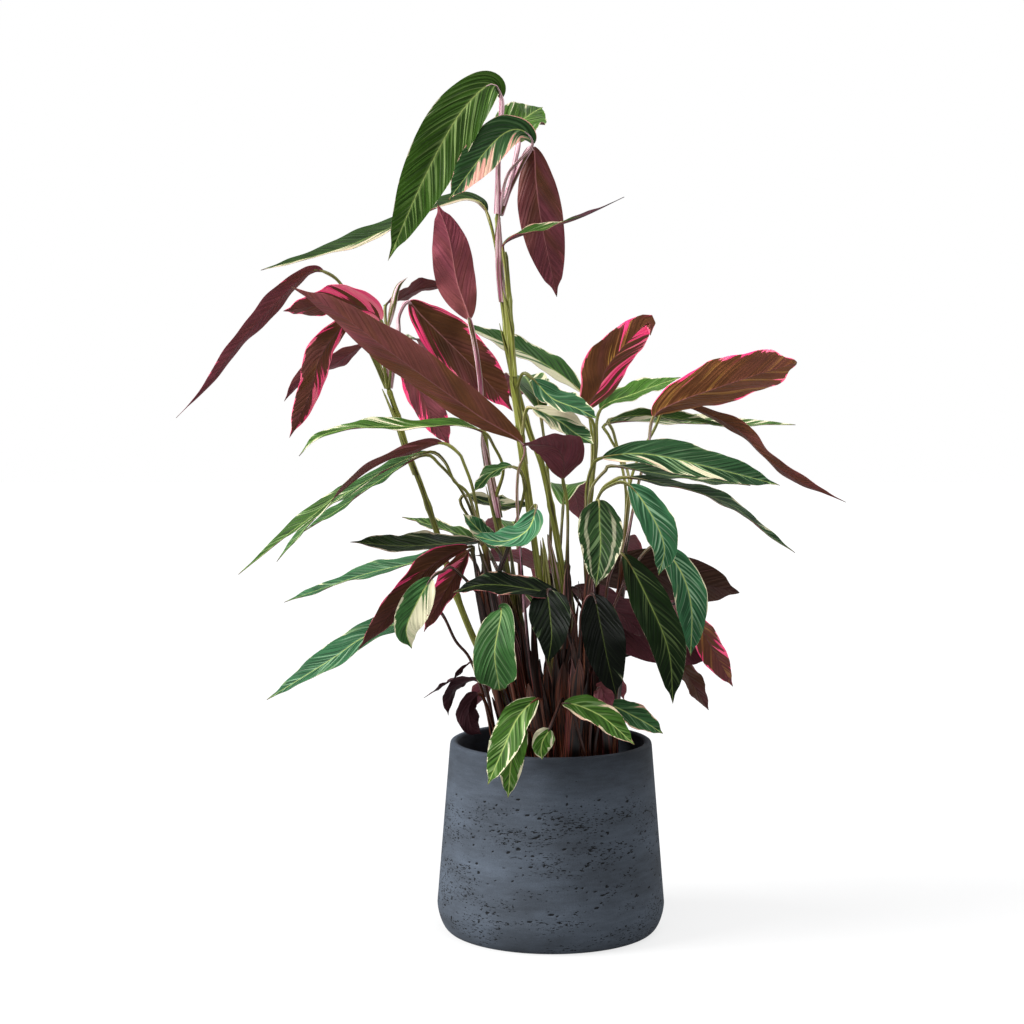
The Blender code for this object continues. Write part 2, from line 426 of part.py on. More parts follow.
def leaf_rings(shoot, leaf, cane, number):
    """Six-sided rings from a leaf's stalk on through its blade to the tip.

    A blade's ring is two flat rows of three points, at the edges and the
    midrib. The edges stand off the midrib by FOLD of the half width, plus a
    sine wave along the blade, one edge a quarter turn ahead of the other.
    """
    stalk_curve, rib_curve = leaf_route(shoot, leaf, cane)
    stalk = along(stalk_curve, np.linspace(0, 1, len(leaf.stalk) + 2))
    steps = BROAD_STEPS if leaf.wide >= BROAD_BLADE else NARROW_STEPS
    even = np.linspace(0, 1, steps + 1)
    u = (even + (1 - np.cos(math.pi * even)) / 2) / 2
    rib = along(rib_curve, u)
    centres = np.vstack([stalk, rib[1:]])
    tangents = unit(np.gradient(centres, axis=0))
    normals = unit(leaf.face - tangents * (tangents @ leaf.face)[:, None])
    for i in range(len(stalk) - 2, -1, -1):
        normals[i] = unit(normals[i + 1] - tangents[i] * normals[i + 1].dot(tangents[i]))
    sides = np.cross(tangents, normals)
    angles = np.radians(RING_ANGLES)
    thick = np.interp(np.linspace(0, 1, len(stalk)), STALK_STATIONS,
                      [SHEATH_RADIUS, STALK_RADIUS, STALK_RADIUS, STALK_END_RADIUS])
    across = np.array([-1, 0, 1, 1, 0, -1])
    half = np.maximum(half_width(leaf, u[1:]), BLADE_END_HALF_WIDTH)[:, None]
    wave = WAVE_HEIGHT * np.sin(2 * math.pi * WAVE_COUNT * u[1:, None] + GOLDEN_ANGLE * number + across)
    lift = half * (FOLD + wave / half.max()) * np.abs(across)
    skin = BLADE_THICKNESS / 2 * np.array([1, 1, 1, -1, -1, -1])
    x = np.vstack([thick[:, None] * np.cos(angles), half * across])
    y = np.vstack([thick[:, None] * np.sin(angles), lift + skin])
    return centres[:, None] + x[..., None] * sides[:, None] + y[..., None] * normals[:, None]


def rolled_leaf_rings(shoot, leaf, cane):
    """Round rings of a stalk that ends in a young leaf, still rolled into a slim spindle."""
    stalk_curve, rib_curve = leaf_route(shoot, leaf, cane)
    stalk = along(stalk_curve, np.linspace(0, 1, 4))
    spindle = along(rib_curve, np.linspace(0, 1, len(ROLLED_SHAPE) + 1)[1:])
    stalk_radii = [SHEATH_RADIUS] + [STALK_RADIUS] * (len(stalk) - 1)
    radii = np.concatenate([stalk_radii, leaf.wide / 2 * np.array(ROLLED_SHAPE)])
    return round_rings(np.vstack([stalk, spindle]), radii, STEM_SIDES)


def shoot_pieces(shoot, number):
    """The closed meshes that make up one shoot, named, before they are joined."""
    cane, radii = foot_and_cane(shoot)
    pieces = [("cane", closed_tube(round_rings(cane, radii, STEM_SIDES)))]
    for k, leaf in enumerate(shoot.leaves):
        if leaf.rolled:
            rings = rolled_leaf_rings(shoot, leaf, cane)
        else:
            rings = leaf_rings(shoot, leaf, cane, 7 * number + k)
        pieces.append((leaf.name, closed_tube(rings)))
    return pieces


def material(name, colour, roughness, metallic=0.0):
    """A plain Principled material."""
    made = bpy.data.materials.new(name)
    made.use_nodes = True
    shader = made.node_tree.nodes["Principled BSDF"]
    shader.inputs["Base Color"].default_value = (*colour, 1)
    shader.inputs["Roughness"].default_value = roughness
    shader.inputs["Metallic"].default_value = metallic
    made.diffuse_color = (*colour, 1)
    return made


def mesh_object(name, vertices, faces, finish, collection):
    """An object from vertices in centimetres, its faces as triangles."""
    mesh = bpy.data.meshes.new(name)
    mesh.from_pydata((np.asarray(vertices) * CM).tolist(), [], [tuple(int(i) for i in f) for f in faces])
    work = bmesh.new()
    work.from_mesh(mesh)
    bmesh.ops.triangulate(work, faces=work.faces[:])
    bmesh.ops.recalc_face_normals(work, faces=work.faces[:])
    work.to_mesh(mesh)
    work.free()
    mesh.materials.append(finish)
    made = bpy.data.objects.new(name, mesh)
    collection.objects.link(made)
    return made


def apply_modifiers(target):
    """Replace an object's mesh with its evaluated one, and clear its modifiers."""
    graph = bpy.context.evaluated_depsgraph_get()
    baked = bpy.data.meshes.new_from_object(target.evaluated_get(graph))
    target.modifiers.clear()
    target.data = baked


def boolean_with(target, others, operation, solver):
    """Join or cut the target with every object of a collection, then remove that collection's objects."""
    cut = target.modifiers.new(operation.lower(), "BOOLEAN")
    cut.operation = operation
    cut.operand_type = "COLLECTION"
    cut.collection = others
    cut.solver = solver
    apply_modifiers(target)
    for spent in list(others.objects):
        bpy.data.objects.remove(spent)
    bpy.data.collections.remove(others)


def turned(name, profile, finish, collection):
    """A closed profile of (radius, height) pairs, down its outer side and up its inner side, turned about Z."""
    mesh = bpy.data.meshes.new(name)
    points = [(r * CM, 0, z * CM) for r, z in profile]
    loop = zip(range(len(profile)), list(range(1, len(profile))) + [0])
    mesh.from_pydata(points, [(a, b) for a, b in loop if profile[a][0] or profile[b][0]], [])
    mesh.materials.append(finish)
    made = bpy.data.objects.new(name, mesh)
    collection.objects.link(made)
    screw = made.modifiers.new("turn", "SCREW")
    screw.steps = POT_STEPS
    screw.render_steps = POT_STEPS
    screw.use_merge_vertices = True
    screw.merge_threshold = 0.00005
    screw.use_normal_calculate = False
    return made


def outer_radius(z):
    """The pot's outer radius at height z: a straight taper over a rounded foot."""
    if z >= POT_WIDEST_HEIGHT:
        share = (z - POT_WIDEST_HEIGHT) / (POT_HEIGHT - POT_WIDEST_HEIGHT)
        return POT_WIDEST_RADIUS + (POT_RIM_RADIUS - POT_WIDEST_RADIUS) * share
    share = 1 - z / POT_WIDEST_HEIGHT
    drop = POT_WIDEST_RADIUS - POT_BASE_RADIUS
    return POT_WIDEST_RADIUS - drop * (1 - math.sqrt(1 - share**2)) ** POT_FOOT_SHAPE


def inner_radius(z):
    """The pot's inner radius at height z."""
    return outer_radius(z) - POT_WALL


def make_pot(finish, collection):
    """The pot: a turned wall with a soft lip and a closed floor."""
    lip_centre = POT_HEIGHT - POT_LIP_ROUND
    middle = POT_RIM_RADIUS - POT_WALL / 2
    reach = POT_WALL / 2
    arc = [(middle + reach * math.cos(a), lip_centre + POT_LIP_ROUND * math.sin(a))
           for a in np.radians([90, 45, 0])]
    wall = [(outer_radius(z), z) for z in (POT_WIDEST_HEIGHT, *POT_FOOT_HEIGHTS)]
    inside = [(0, POT_FLOOR)] + [(inner_radius(z), z) for z in (POT_FLOOR, POT_WIDEST_HEIGHT)]
    back = [(middle - reach * math.cos(a), lip_centre + POT_LIP_ROUND * math.sin(a))
            for a in np.radians([0, 45])]
    return turned("pot", arc + wall + [(0, 0)] + inside + back, finish, collection)


def make_soil(finish, collection, holes):
    """The soil: a plug that fills the pot to SOIL_TOP, lightly lumpy, with a plain hole for each foot."""
    angles = 2 * math.pi * np.arange(POT_STEPS) / POT_STEPS
    edge = inner_radius(SOIL_TOP) - CLEARANCE
    rings = []
    for radius in np.linspace(0, 1, SOIL_RINGS + 1)[1:-1] * edge:
        broad = np.sin(3 * angles + radius) * np.cos(1.3 * radius)
        lump = SOIL_ROUGHNESS * (broad + np.sin(7 * angles - radius)) / 2
        rings.append(np.column_stack([radius * np.cos(angles), radius * np.sin(angles), SOIL_TOP + lump]))
    for z in (SOIL_TOP, POT_WIDEST_HEIGHT, POT_FLOOR + CLEARANCE):
        radius = inner_radius(z) - CLEARANCE
        rings.append(np.column_stack([radius * np.cos(angles), radius * np.sin(angles), np.full(POT_STEPS, z)]))
    soil = mesh_object("soil", *closed_tube(np.array(rings)), finish, collection)
    boolean_with(soil, holes, "DIFFERENCE", "EXACT")
    return soil


def hole_cutters(finish):
    """A straight cutter, wider than the foot by HOLE_PLAY, at each foot's place."""
    cutters = bpy.data.collections.new("holes")
    angles = 2 * math.pi * np.arange(STEM_SIDES) / STEM_SIDES
    radius = FOOT_RADIUS + HOLE_PLAY
    for shoot in SHOOTS:
        circle = np.column_stack([shoot.foot[0] + radius * np.cos(angles),
                                  shoot.foot[1] + radius * np.sin(angles)])
        rings = [np.column_stack([circle, np.full(STEM_SIDES, z)]) for z in (HOLE_BOTTOM, SOIL_TOP + 1)]
        mesh_object("hole", *closed_tube(np.array(rings)), finish, cutters)
    return cutters


def keep_outer_skin(mesh):
    """Keep a joined mesh's largest closed skin: sealed hollows are filled and loose scraps are dropped."""
    work = bmesh.new()
    work.from_mesh(mesh)
    left = set(work.faces)
    skins = []
    while left:
        skin, edge = set(), [left.pop()]
        while edge:
            face = edge.pop()
            skin.add(face)
            for other in (f for e in face.edges for f in e.link_faces if f in left):
                left.discard(other)
                edge.append(other)
        skins.append(skin)
    skins.sort(key=len)
    for spare in skins[:-1]:
        bmesh.ops.delete(work, geom=list(spare), context="FACES")
    work.to_mesh(mesh)
    work.free()


def make_shoot(shoot, number, finish, collection):
    """One leafy shoot, its pieces joined into a single closed solid."""
    joined = bpy.data.collections.new("joined")
    pieces = shoot_pieces(shoot, number)
    first = mesh_object(shoot.name, *pieces[0][1], finish, collection)
    for name, (vertices, faces) in pieces[1:]:
        mesh_object(name, vertices, faces, finish, joined)
    boolean_with(first, joined, "UNION", "MANIFOLD")
    keep_outer_skin(first.data)
    first.data.shade_smooth()
    first.data.set_sharp_from_angle(angle=math.radians(SMOOTH_BELOW))
    return first


def main():
    """Clear the scene and make the pot, the soil and every shoot."""
    for old in list(bpy.data.objects):
        bpy.data.objects.remove(old)
    plant = bpy.data.collections.new("stromanthe_triostar")
    bpy.context.scene.collection.children.link(plant)
    stone = material("pot", (0.075, 0.09, 0.115), 0.8)
    earth = material("soil", (0.035, 0.022, 0.014), 0.95)
    foliage = material("foliage", (0.09, 0.16, 0.06), 0.4)
    pot = make_pot(stone, plant)
    pot.data.shade_smooth()
    make_soil(earth, plant, hole_cutters(earth))
    for number, shoot in enumerate(SHOOTS):
        make_shoot(shoot, number, foliage, plant)


main()
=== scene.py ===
"""Looks of a stromanthe triostar in its round concrete pot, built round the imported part.

Lengths in the tables are centimetres and are scaled once, by CM. Every shoot is
one piece: its cane, its leaf stalks and its blades, as surfaces of two
parameters worked out with numpy. The leaf pattern is painted by nodes that
read each blade's own attributes: how far along and across a point lies, and
how cream, pink, green or brown that leaf is.
"""
import math
from dataclasses import dataclass
from types import SimpleNamespace

import bpy
import numpy as np
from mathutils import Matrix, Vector


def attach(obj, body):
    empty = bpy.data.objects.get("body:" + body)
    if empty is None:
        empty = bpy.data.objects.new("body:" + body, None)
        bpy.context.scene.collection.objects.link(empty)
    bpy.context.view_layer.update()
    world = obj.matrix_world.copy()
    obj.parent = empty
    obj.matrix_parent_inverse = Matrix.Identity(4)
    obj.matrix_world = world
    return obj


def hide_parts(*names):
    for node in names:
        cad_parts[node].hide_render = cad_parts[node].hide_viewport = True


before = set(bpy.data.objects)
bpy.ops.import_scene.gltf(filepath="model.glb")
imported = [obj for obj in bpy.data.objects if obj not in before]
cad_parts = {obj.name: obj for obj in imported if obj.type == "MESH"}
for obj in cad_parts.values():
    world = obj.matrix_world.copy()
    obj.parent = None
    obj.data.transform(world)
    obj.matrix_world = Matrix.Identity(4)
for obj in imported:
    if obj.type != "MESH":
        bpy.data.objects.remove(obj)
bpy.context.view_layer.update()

CM = 0.01
GOLDEN_ANGLE = 2.399963

# Seeds of the random draws, and the steps between the numbers that shoots and leaves go by
PIT_SEED = 11
SOIL_SEED = 5
SHEATH_SEED = 100
SHEATH_STEP = 0.31
LEAF_SHEATH_STEP = 0.7
STALK_SHEATH_STEP = 0.3
SHOOT_STEP = 7
BLADE_STEP = 0.618
BLADE_START = 0.37

# Pot, in centimetres
POT_HEIGHT = 20.0
POT_BASE_RADIUS = 10.7
POT_WIDEST_RADIUS = 12.0
POT_WIDEST_HEIGHT = 2.8
POT_RIM_RADIUS = 10.6
POT_WALL = 0.8
POT_FLOOR = 1.2
POT_LIP_ROUND = 0.3
POT_FOOT_SHAPE = 0.8
POT_AROUND = 336
POT_WALL_RINGS = 112
POT_FOOT_RINGS = 14
POT_LIP_RINGS = 13
POT_INNER_RINGS = 12
POT_FLAT = 0.6
AXIS_HOLE = 0.01

# Pits in the pot's wall, in centimetres: the heights of their bands, and the ranges of their sizes
PIT_COUNT = 1100
PIT_DEEPEST = 0.1
PIT_BANDS = (4.2, 6.8, 9.6, 12.4, 14.6)
PIT_BAND_SPREAD = 0.9
PIT_LENGTH = (0.07, 0.34)
PIT_SHRINK = (0.35, 1)
PIT_FLATNESS = (0.2, 0.5)
PIT_DEPTH = (0.3, 1)

# Soil, in centimetres: its surface lies SOIL_SUNK below SOIL_TOP
SOIL_TOP = 17.0
SOIL_GAP = 0.05
SOIL_SUNK = 0.1
SOIL_AROUND = 144
SOIL_RINGS = 46
CRUMB_HEIGHT = 0.07
CRUMB_FADE = 0.5

# Stems, in centimetres and shares: a foot without a cane is given by heights and widths over the soil
HOLE_BOTTOM = 12.56
FOOT_RADIUS = 0.5
FOOT_ABOVE_SOIL = 0.5
FOOT_STATIONS = ((-1, 1), (0, 1), (0.6, 0.8), (1.2, 0.3))
FOOT_END = 0.9
FOOT_SWELL = 0.16
FOOT_SWELL_HEIGHT = 6.0
CANE_START = 1.5
CANE_BASE_RADIUS = 0.4
CANE_TOP_RADIUS = 0.27
CANE_SIDES = 14
CANE_RINGS_PER_CM = 2.0
CANE_END = 0.5
JOINTS_FROM = 26
JOINT_EVERY = 9.3
JOINT_SWELL = 0.09
JOINT_LENGTH = 0.55
STALK_RADIUS = 0.16
STALK_FOOT_RADIUS = 0.24
STALK_END_RADIUS = 0.13
STALK_STATIONS = (0, 0.3, 0.85, 1)
STALK_OFFSET = 0.18
STALK_SIDES = 10
STALK_RINGS_PER_CM = 1.6
STALK_LEAST_RINGS = 8
KNEE_SWELL = 0.05
KNEE_LENGTH = 0.9
KNEE_BACK = 0.6
STALK_INTO_RIB = 0.12
STALK_FADE = (0.9, 0.75, 0.55, 0.3)

# Sheaths, in centimetres, degrees and shares: stems with a foot left of CROWD_FROM keep only low ones
CROWD_FROM = -1.8
CROWD_CLEAR = 0.3
FOOT_SHEATHS = 4
LOW_SHEATHS = (3, 10)
HIGH_SHEATHS = (11, 25)
SHEATH_SUNK = 0.3
SHEATH_BELOW_TOP = 2
SHEATH_BLUSH = (0, 0.35)
SHEATH_LOOSE = (0.1, 0.5)
SHEATH_ANGLE = 105
SHEATH_LEAST_REACH = 0.05
SHEATH_THICKNESS = 0.06
SHEATH_CLEAR = 0.16
SHEATH_RIPPLE = 0.12
SHEATH_FLUTES = 5
SHEATH_TAPER_HEIGHT = 60
SHEATH_POINTS = 9
SHEATH_RINGS_PER_CM = 1.6
SHEATH_LEAST_RINGS = 8
LEAF_SHEATHS_FROM = 30
LEAF_SHEATH = 9.0
LEAF_SHEATH_CLEAR = 0.07
LEAF_SHEATH_LOOSE = 0.25
LEAF_SHEATH_PAST = 1.2
LEAF_SHEATH_BELOW_TIP = 0.1
LEAF_SHEATH_BLUSH = 0.8
CANE_CROWN = 4
STALK_SHEATH_RAISED = 0.3
STALK_SHEATH_CLEAR = 0.36
STALK_SHEATH_BLUSH = 0.1
STALK_SHEATH_LOOSE = 0.3
STALK_SHEATH_TURN = 2.1

# Blades, in centimetres or as shares of a blade's length or half width
BLADE_THICKNESS = 0.05
BLADE_EDGE = 0.025
BASE_FULLNESS = 0.72
WIDEST_AT = 0.45
TAIL_FROM = 0.88
TAIL_LENGTH = 0.07
TAIL_NARROWING = 0.45
LEAST_HALF_WIDTH = 0.02
TWISTED_BY = 0.6
FOLD = 0.2
FOLD_POWER = 1.2
WAVE_HEIGHT = 0.2
WAVE_COUNT = 2.5
FRILL_SHARE = 0.3
FRILL_COUNT = 6.5
FRILL_STEP = 1.7
FRILL_LAG = 2.2
BLADE_RINGS_PER_CM = 3.6
BLADE_LEAST_RINGS = 24
BLADE_ROW = 17
ROW_POWER = 1.5
RIB_RADIUS = 0.13
RIB_TAPER = 0.8
RIB_ABOVE = 0.3
RIB_FULL_WIDTH = 3
ROLLED_FULLNESS = 0.8
ROLLED_TIP = 0.2
ROLLED_END = 0.01
ROLLED_RINGS = (12, 16)
CURVE_STEPS = 16
SMOOTH_BELOW = 50


@dataclass
class Leaf:
    """One leaf's name, its place, as in the part's source, and its looks.

    It leaves its cane at the height `at`. `stalk` and `rib` are points of its
    stalk and midrib, and `face` is where its upper side looks.
    `cream` is the share of pale sectors, `lean` puts them on one side of the
    midrib, `rim` is the pale margin's width and `pink` its warmth. `deep`,
    `cool` and `stripe` paint the upper side; `brown` and `glow` the underside,
    where `glow` lays orange streaks as a painted glow of light through the leaf.
    `dry` withers it from the tip. `light` makes it lighter or darker: partly the
    leaf's own tone, partly painted shade on leaves deep in the plant and painted
    glow on undersides lit through the leaf. `blush` reddens its stalk and `ring`
    paints a pale loop inside the margin.
    """
    name: str
    at: float
    stalk: tuple
    rib: tuple
    wide: float
    face: tuple
    rolled: bool = False
    flip: bool = False
    twist: tuple = (0, 0)
    thick: float = 1
    cream: float = 0.2
    lean: float = 0
    rim: float = 0.07
    pink: float = 0.1
    deep: float = 0.5
    cool: float = 0.1
    stripe: float = 0.6
    brown: float = 0.3
    glow: float = 0
    dry: float = 0
    light: float = 1
    blush: float = 0.1
    ring: float = 0
    widest: float = WIDEST_AT


@dataclass
class Shoot:
    """One leafy stem: the foot's place in the soil, its cane's route and its leaves.

    It goes over from brown to green about the height `green_from`. A shoot
    without a cane may name the heights of `sheaths` round its first stalk.
    """
    name: str
    foot: tuple
    cane: tuple
    leaves: tuple
    green_from: float = 42
    sheaths: tuple = ()


# A leaf's `light` is partly its own tone and partly painted light: painted shade darkens leaves deep in the
# plant, painted glow brightens undersides lit through the leaf.
SHOOTS = (
    Shoot("shoot_tall", (1, 0), ((1.5, 0, 25), (1.5, 0, 35), (-0.6, 0, 47.5), (-2.3, 0, 52.5),
          (-3.9, 0, 58.5), (-5.3, 0, 68), (-5.6, 0, 75)), (
        Leaf("crown", 75, ((-5.5, -0.5, 81.5), (-5.2, 0.3, 86.8)), ((-6.5, -0.8, 88.1), (-9.7, -3, 84.5),
            (-13.1, -5, 78), (-16.5, -8, 69.8)), 5.5, (0.35, -1, 0.45), widest=0.42, cream=0.05, lean=-0.7,
            stripe=0.9, deep=0.56, cool=0, rim=0.02, blush=0.6, thick=1.7),
        Leaf("streaked", 75, ((-4.5, -1, 79), (-2, -1, 82)), ((-3.5, -1.5, 83.5), (-6, -3, 82),
            (-10.5, -6, 76)), 4, (0.1, -1, 0.5), cream=0.36, lean=-0.5, pink=0.7, deep=0.75, stripe=0.25,
            cool=0.4, blush=0.6, rim=0.04),
        Leaf("young", 75, ((-4.5, 0.5, 77.5), (-3.4, 2, 82.5)), ((-3.3, 4.5, 84.7), (-2.2, 6.5, 85.9),
            (-0.8, 9, 87)), 5.4, (-0.1, -1, 0.35), widest=0.38, cream=0.14, deep=0.35, cool=0, stripe=0.8,
            rim=0.05, blush=0.7, light=0.95, thick=1.5),
        Leaf("hanging", 75, ((-4, 1, 78.5), (-2, 1.5, 82)), ((-1.6, 1.5, 78.5), (-1, 1, 74), (0.6, 2, 66.5)),
            4.6, (0.1, 1, 0.15), brown=0.45, cream=0.03, rim=0.02, blush=0.75, thick=2.1, light=0.85),
        Leaf("level", 62.5, ((-5.6, 1, 70.5), (-6.7, 1.5, 75.2)), ((-8, 2.2, 76.6), (-10.5, 3, 76.5),
            (-16, 5, 74.3), (-22.5, 6, 71.7), (-31, 7, 69.5)), 4.6, (0.1, -0.45, 1), cream=0.38, lean=-0.95,
            pink=0.4, deep=0.75, stripe=0.4, light=0.75, rim=0),
    ), green_from=32),
    Shoot("shoot_second", (2, -2.5), ((1, -2.5, 25.5), (-0.5, -2.5, 33), (-1.5, -2.5, 39), (-2.6, -2.5, 47.5),
          (-3.3, -2, 53.5), (-3.9, -2, 59), (-4.4, -2, 66), (-4.8, -2, 71)), (
        Leaf("flag", 66, ((-4.8, -2.5, 69.5), (-5, -2.7, 71)), ((-4.8, -2.9, 71.9), (-2.7, -3.2, 72.8),
            (2.4, -4, 74.2), (7.2, -6, 76.3)), 2.8, (-0.3, -0.25, 1), widest=0.3, cream=0.08, pink=0.5,
            deep=0.55, dry=0.45, light=0.9),
        Leaf("fork_upper", 57, ((-3, -3, 58.5), (-2, -3.7, 58)), ((0, -5, 56), (2.5, -7, 55),
            (4.5, -8.5, 54)), 3.4, (0.1, -0.7, 0.9), cream=0.1, deep=0.6, cool=0.8, stripe=0.5),
        Leaf("fork_lower", 52, ((-2.7, -3, 54.5), (-2, -3.7, 55)), ((0.7, -5, 53.7), (2.3, -6.5, 52.5),
            (4.2, -8, 51.4)), 3.4, (0.2, -0.7, 0.8), cream=0.3, deep=0.7, cool=0.6, stripe=0.7),
    ), green_from=30),
    Shoot("shoot_upright", (-0.5, 2), ((-2, 1.5, 25), (-4, 1, 34.5), (-5.5, 1, 43), (-6.5, 1, 48.5),
          (-7, 0.5, 52.5)), (
        Leaf("upright", 52.5, ((-7.5, -0.5, 58.5), (-8.5, -0.5, 64)), ((-9.8, -0.5, 68), (-10.6, -0.5, 72.5),
            (-11.8, 0, 76)), 4.3, (-0.2, 1, 0.1), brown=0.25, cream=0, rim=0.01, light=1.38, blush=0.5,
            thick=1.7),
        Leaf("level", 45.5, ((-5, 0, 48.5), (-6, -1, 51), (-7, -3.5, 52.5)), ((-9.5, -5, 53.3),
            (-12.5, -6, 53.2), (-19.5, -8, 53.1), (-23.5, -8.5, 52.2), (-25.5, -8.5, 50.3)), 3.6,
            (0.1, -0.25, 1), cream=0.25, deep=0.45, rim=0.02),
    ), green_from=36),
    Shoot("shoot_long_leaf", (-0.5, -5), (), (
        Leaf("long", 17, ((-1.5, -5.5, 24), (-2.5, -6, 31.5), (-3.5, -7.5, 44), (-3.5, -8, 48.5),
            (-3, -8.5, 51.5)), ((-7.5, -10, 54.5), (-15, -13, 60), (-21, -14.5, 64.5), (-25.5, -15, 67)),
            4.8, (0.35, 0.9, 0.6), brown=0.66, cream=0, rim=0.01, light=1.38, blush=0.3),
    ), sheaths=(38, 33, 27)),
    Shoot("shoot_left_fan", (-4, -1), ((-5.5, -1, 25.5), (-8, -0.5, 30.5), (-10, 0, 35.5), (-12, 0, 42),
          (-13.5, 0, 46.5), (-15, 0, 50.5), (-16, 0, 54), (-17, 0, 57)), (
        Leaf("outer", 57, ((-19, -0.5, 62), (-20.5, -1, 65.5), (-22, -1, 68), (-23.5, -1, 69)),
            ((-24.7, -1, 69.2), (-26.3, -1.5, 68), (-31.5, -3, 62.4), (-35.5, -4, 57.1), (-38.5, -4, 54)),
            2.6, (-0.5, 0.7, 0.7), widest=0.32, brown=0.1, cream=0.04, rim=0, pink=0.9),
        Leaf("arched", 57, ((-17.5, -2, 61), (-17.5, -3, 63.9)), ((-19.5, -4, 65.3), (-22.2, -5, 65.7),
            (-27, -8, 64.8)), 4.2, (-0.1, 0.75, 0.75), brown=0.8, cream=0.46, pink=1, rim=0.08, light=1.1),
        Leaf("hanging", 57, ((-19, -0.5, 61), (-20.5, -1, 64)), ((-21.8, -2, 63.2), (-23.7, -4, 60.3),
            (-24.7, -5, 56.5), (-26.8, -5, 52)), 3.2, (-0.6, 0.9, 0.2), brown=0.75, cream=0.25, lean=0.5,
            pink=1, rim=0.08),
        Leaf("shaded", 57, ((-18, 1.5, 59.5), (-19.5, 3, 61.5)), ((-23, 4.5, 59.5), (-26.5, 6, 58),
            (-28.5, 6, 55.5)), 2.6, (-0.3, 0.6, 0.8), brown=0, cream=0.1, rim=0.05),
        Leaf("broad", 57, ((-16, 1, 62), (-16, 2, 64.5), (-15, 2.5, 66)), ((-13.5, 3, 64.5), (-11.5, 3, 62.5),
            (-7.5, 3, 58.5), (-4, 3, 54.5)), 5.4, (0.3, 1, 0.3), brown=0.85, cream=0.3, lean=-0.6, pink=1,
            light=0.85, rim=0.1, blush=0.7, thick=1.5),
        Leaf("behind", 57, ((-17, 2, 61), (-17.5, 4, 65.5)), ((-16, 6, 66.5), (-14, 7.5, 67.5), (-11, 9, 68)),
            3.2, (-0.1, 0.6, 0.9), brown=0.2, cream=0.1, rim=0.05),
        Leaf("pink", 57, ((-16.5, -1.5, 59.5), (-16, -2, 60.5)), ((-14.5, -2, 58.5), (-12.5, -2.5, 54.5),
            (-10.5, -2.5, 51)), 3.8, (0.4, 0.9, 0.1), brown=0.4, cream=0.35, pink=1, rim=0.1),
        Leaf("rear", 57, ((-17, 1.5, 60), (-16, 4, 62)), ((-14, 8, 62), (-12, 13, 60), (-11, 17, 56)), 4.4,
            (0.3, 0.2, 1), cream=0.25),
        Leaf("new", 57, ((-17, 0.5, 61), (-17, 0.5, 63)), ((-16.5, 0.5, 65.5), (-16, 1, 67.5),
            (-15, 1, 68.5)), 0.7, (0, -1, 0), rolled=True, blush=0.35),
    ), green_from=27),
    Shoot("shoot_left_arching", (-2, -3), ((-4, -4, 26), (-5.5, -5, 33.5), (-7, -5.5, 41.5)), (
        Leaf("front", 41, ((-8, -6, 46.5), (-9, -6.5, 49.5), (-9.5, -7, 50.5), (-11, -7, 51.5)),
            ((-13.3, -7.5, 51.2), (-18.4, -9, 49), (-23.5, -10, 44.8), (-26.5, -10, 42.5),
            (-31.5, -10, 38.5)), 4, (-0.3, -0.3, 1), cream=0.15, deep=0.6, twist=(55, 0), rim=0),
        Leaf("middle", 41, ((-8.5, -4.5, 46), (-10, -4.5, 47.5), (-11, -4, 49.5), (-12.5, -4, 50.5)),
            ((-15.5, -4.5, 49.5), (-21.5, -6, 46), (-24.5, -7, 43.5), (-28, -7, 39.5)), 3.2, (-0.4, -0.3, 1),
            cream=0.25, deep=0.45, stripe=0.8, cool=0.4, rim=0),
        Leaf("rear", 41, ((-9, -3.5, 46), (-11.5, -2, 49), (-13.5, -1.5, 50)), ((-18.5, -2, 47),
            (-22, -2.5, 44.5), (-26, -3, 42)), 3, (-0.3, -0.25, 1), cream=0.1, deep=0.45, stripe=0.5,
            cool=0.4, rim=0),
    )),
    Shoot("shoot_left_low", (-3, 2.5), ((-5, 2, 25), (-6, 1.5, 30.5), (-7, 1, 35.5), (-7, 0.5, 39)), (
        Leaf("level", 39, ((-7, 0, 40.5), (-7.5, -1, 41)), ((-11.5, -4, 41), (-15.5, -6, 41),
            (-20.5, -7, 41.5)), 4.3, (0, -0.45, 1), cream=0.08, deep=0.85, rim=0.08, stripe=0.3, pink=0.4,
            light=0.8),
        Leaf("edge_on", 36, ((-7, 2, 39), (-7.5, 3, 40.5)), ((-12, 5, 42), (-16, 7, 43)), 3.2,
            (-0.2, -0.05, 1), cream=0.15, deep=0.6),
        Leaf("sinking", 36, ((-8, 2, 38.5), (-10, 3, 40)), ((-14, 4, 38.5), (-19.5, 6, 37), (-25, 8, 35),
            (-29, 9, 33.5)), 3.6, (-0.2, -0.35, 1), cream=0.1, stripe=0.5, cool=0.8, rim=0.02),
    )),
    Shoot("shoot_left_hanging", (-4, -4), ((-5.5, -4.5, 25), (-6.5, -5, 31), (-7.5, -5, 37)), (
        Leaf("brown", 36, ((-8, -6, 40), (-8.5, -7, 41)), ((-12.4, -9, 39.2), (-15.8, -11, 35.2),
            (-19.5, -11, 31)), 3.4, (-0.6, 0.9, 0.6), brown=0.95, cream=0.08, lean=-0.8, pink=1, light=0.62,
            rim=0.04),
        Leaf("white_half", 36, ((-10, -9, 39), (-11, -12, 39), (-12, -13, 38.5)), ((-13.5, -14, 36),
            (-14.5, -14, 33.5), (-14, -13.5, 31.5)), 3.2, (0.1, -1, 0.1), cream=0.55, lean=-0.9, deep=0.3,
            cool=0.5, stripe=0.5),
        Leaf("red", 36, ((-8, -5, 39.5), (-8.5, -5.5, 40.5)), ((-10, -7, 38), (-11.5, -8, 35.5),
            (-13, -8.5, 32.5)), 2.8, (-0.5, 0.9, 0.2), brown=0.8, cream=0.25, pink=1, light=0.8, rim=0.08),
    )),
    Shoot("shoot_left_bottom", (-5.5, 1), (), (
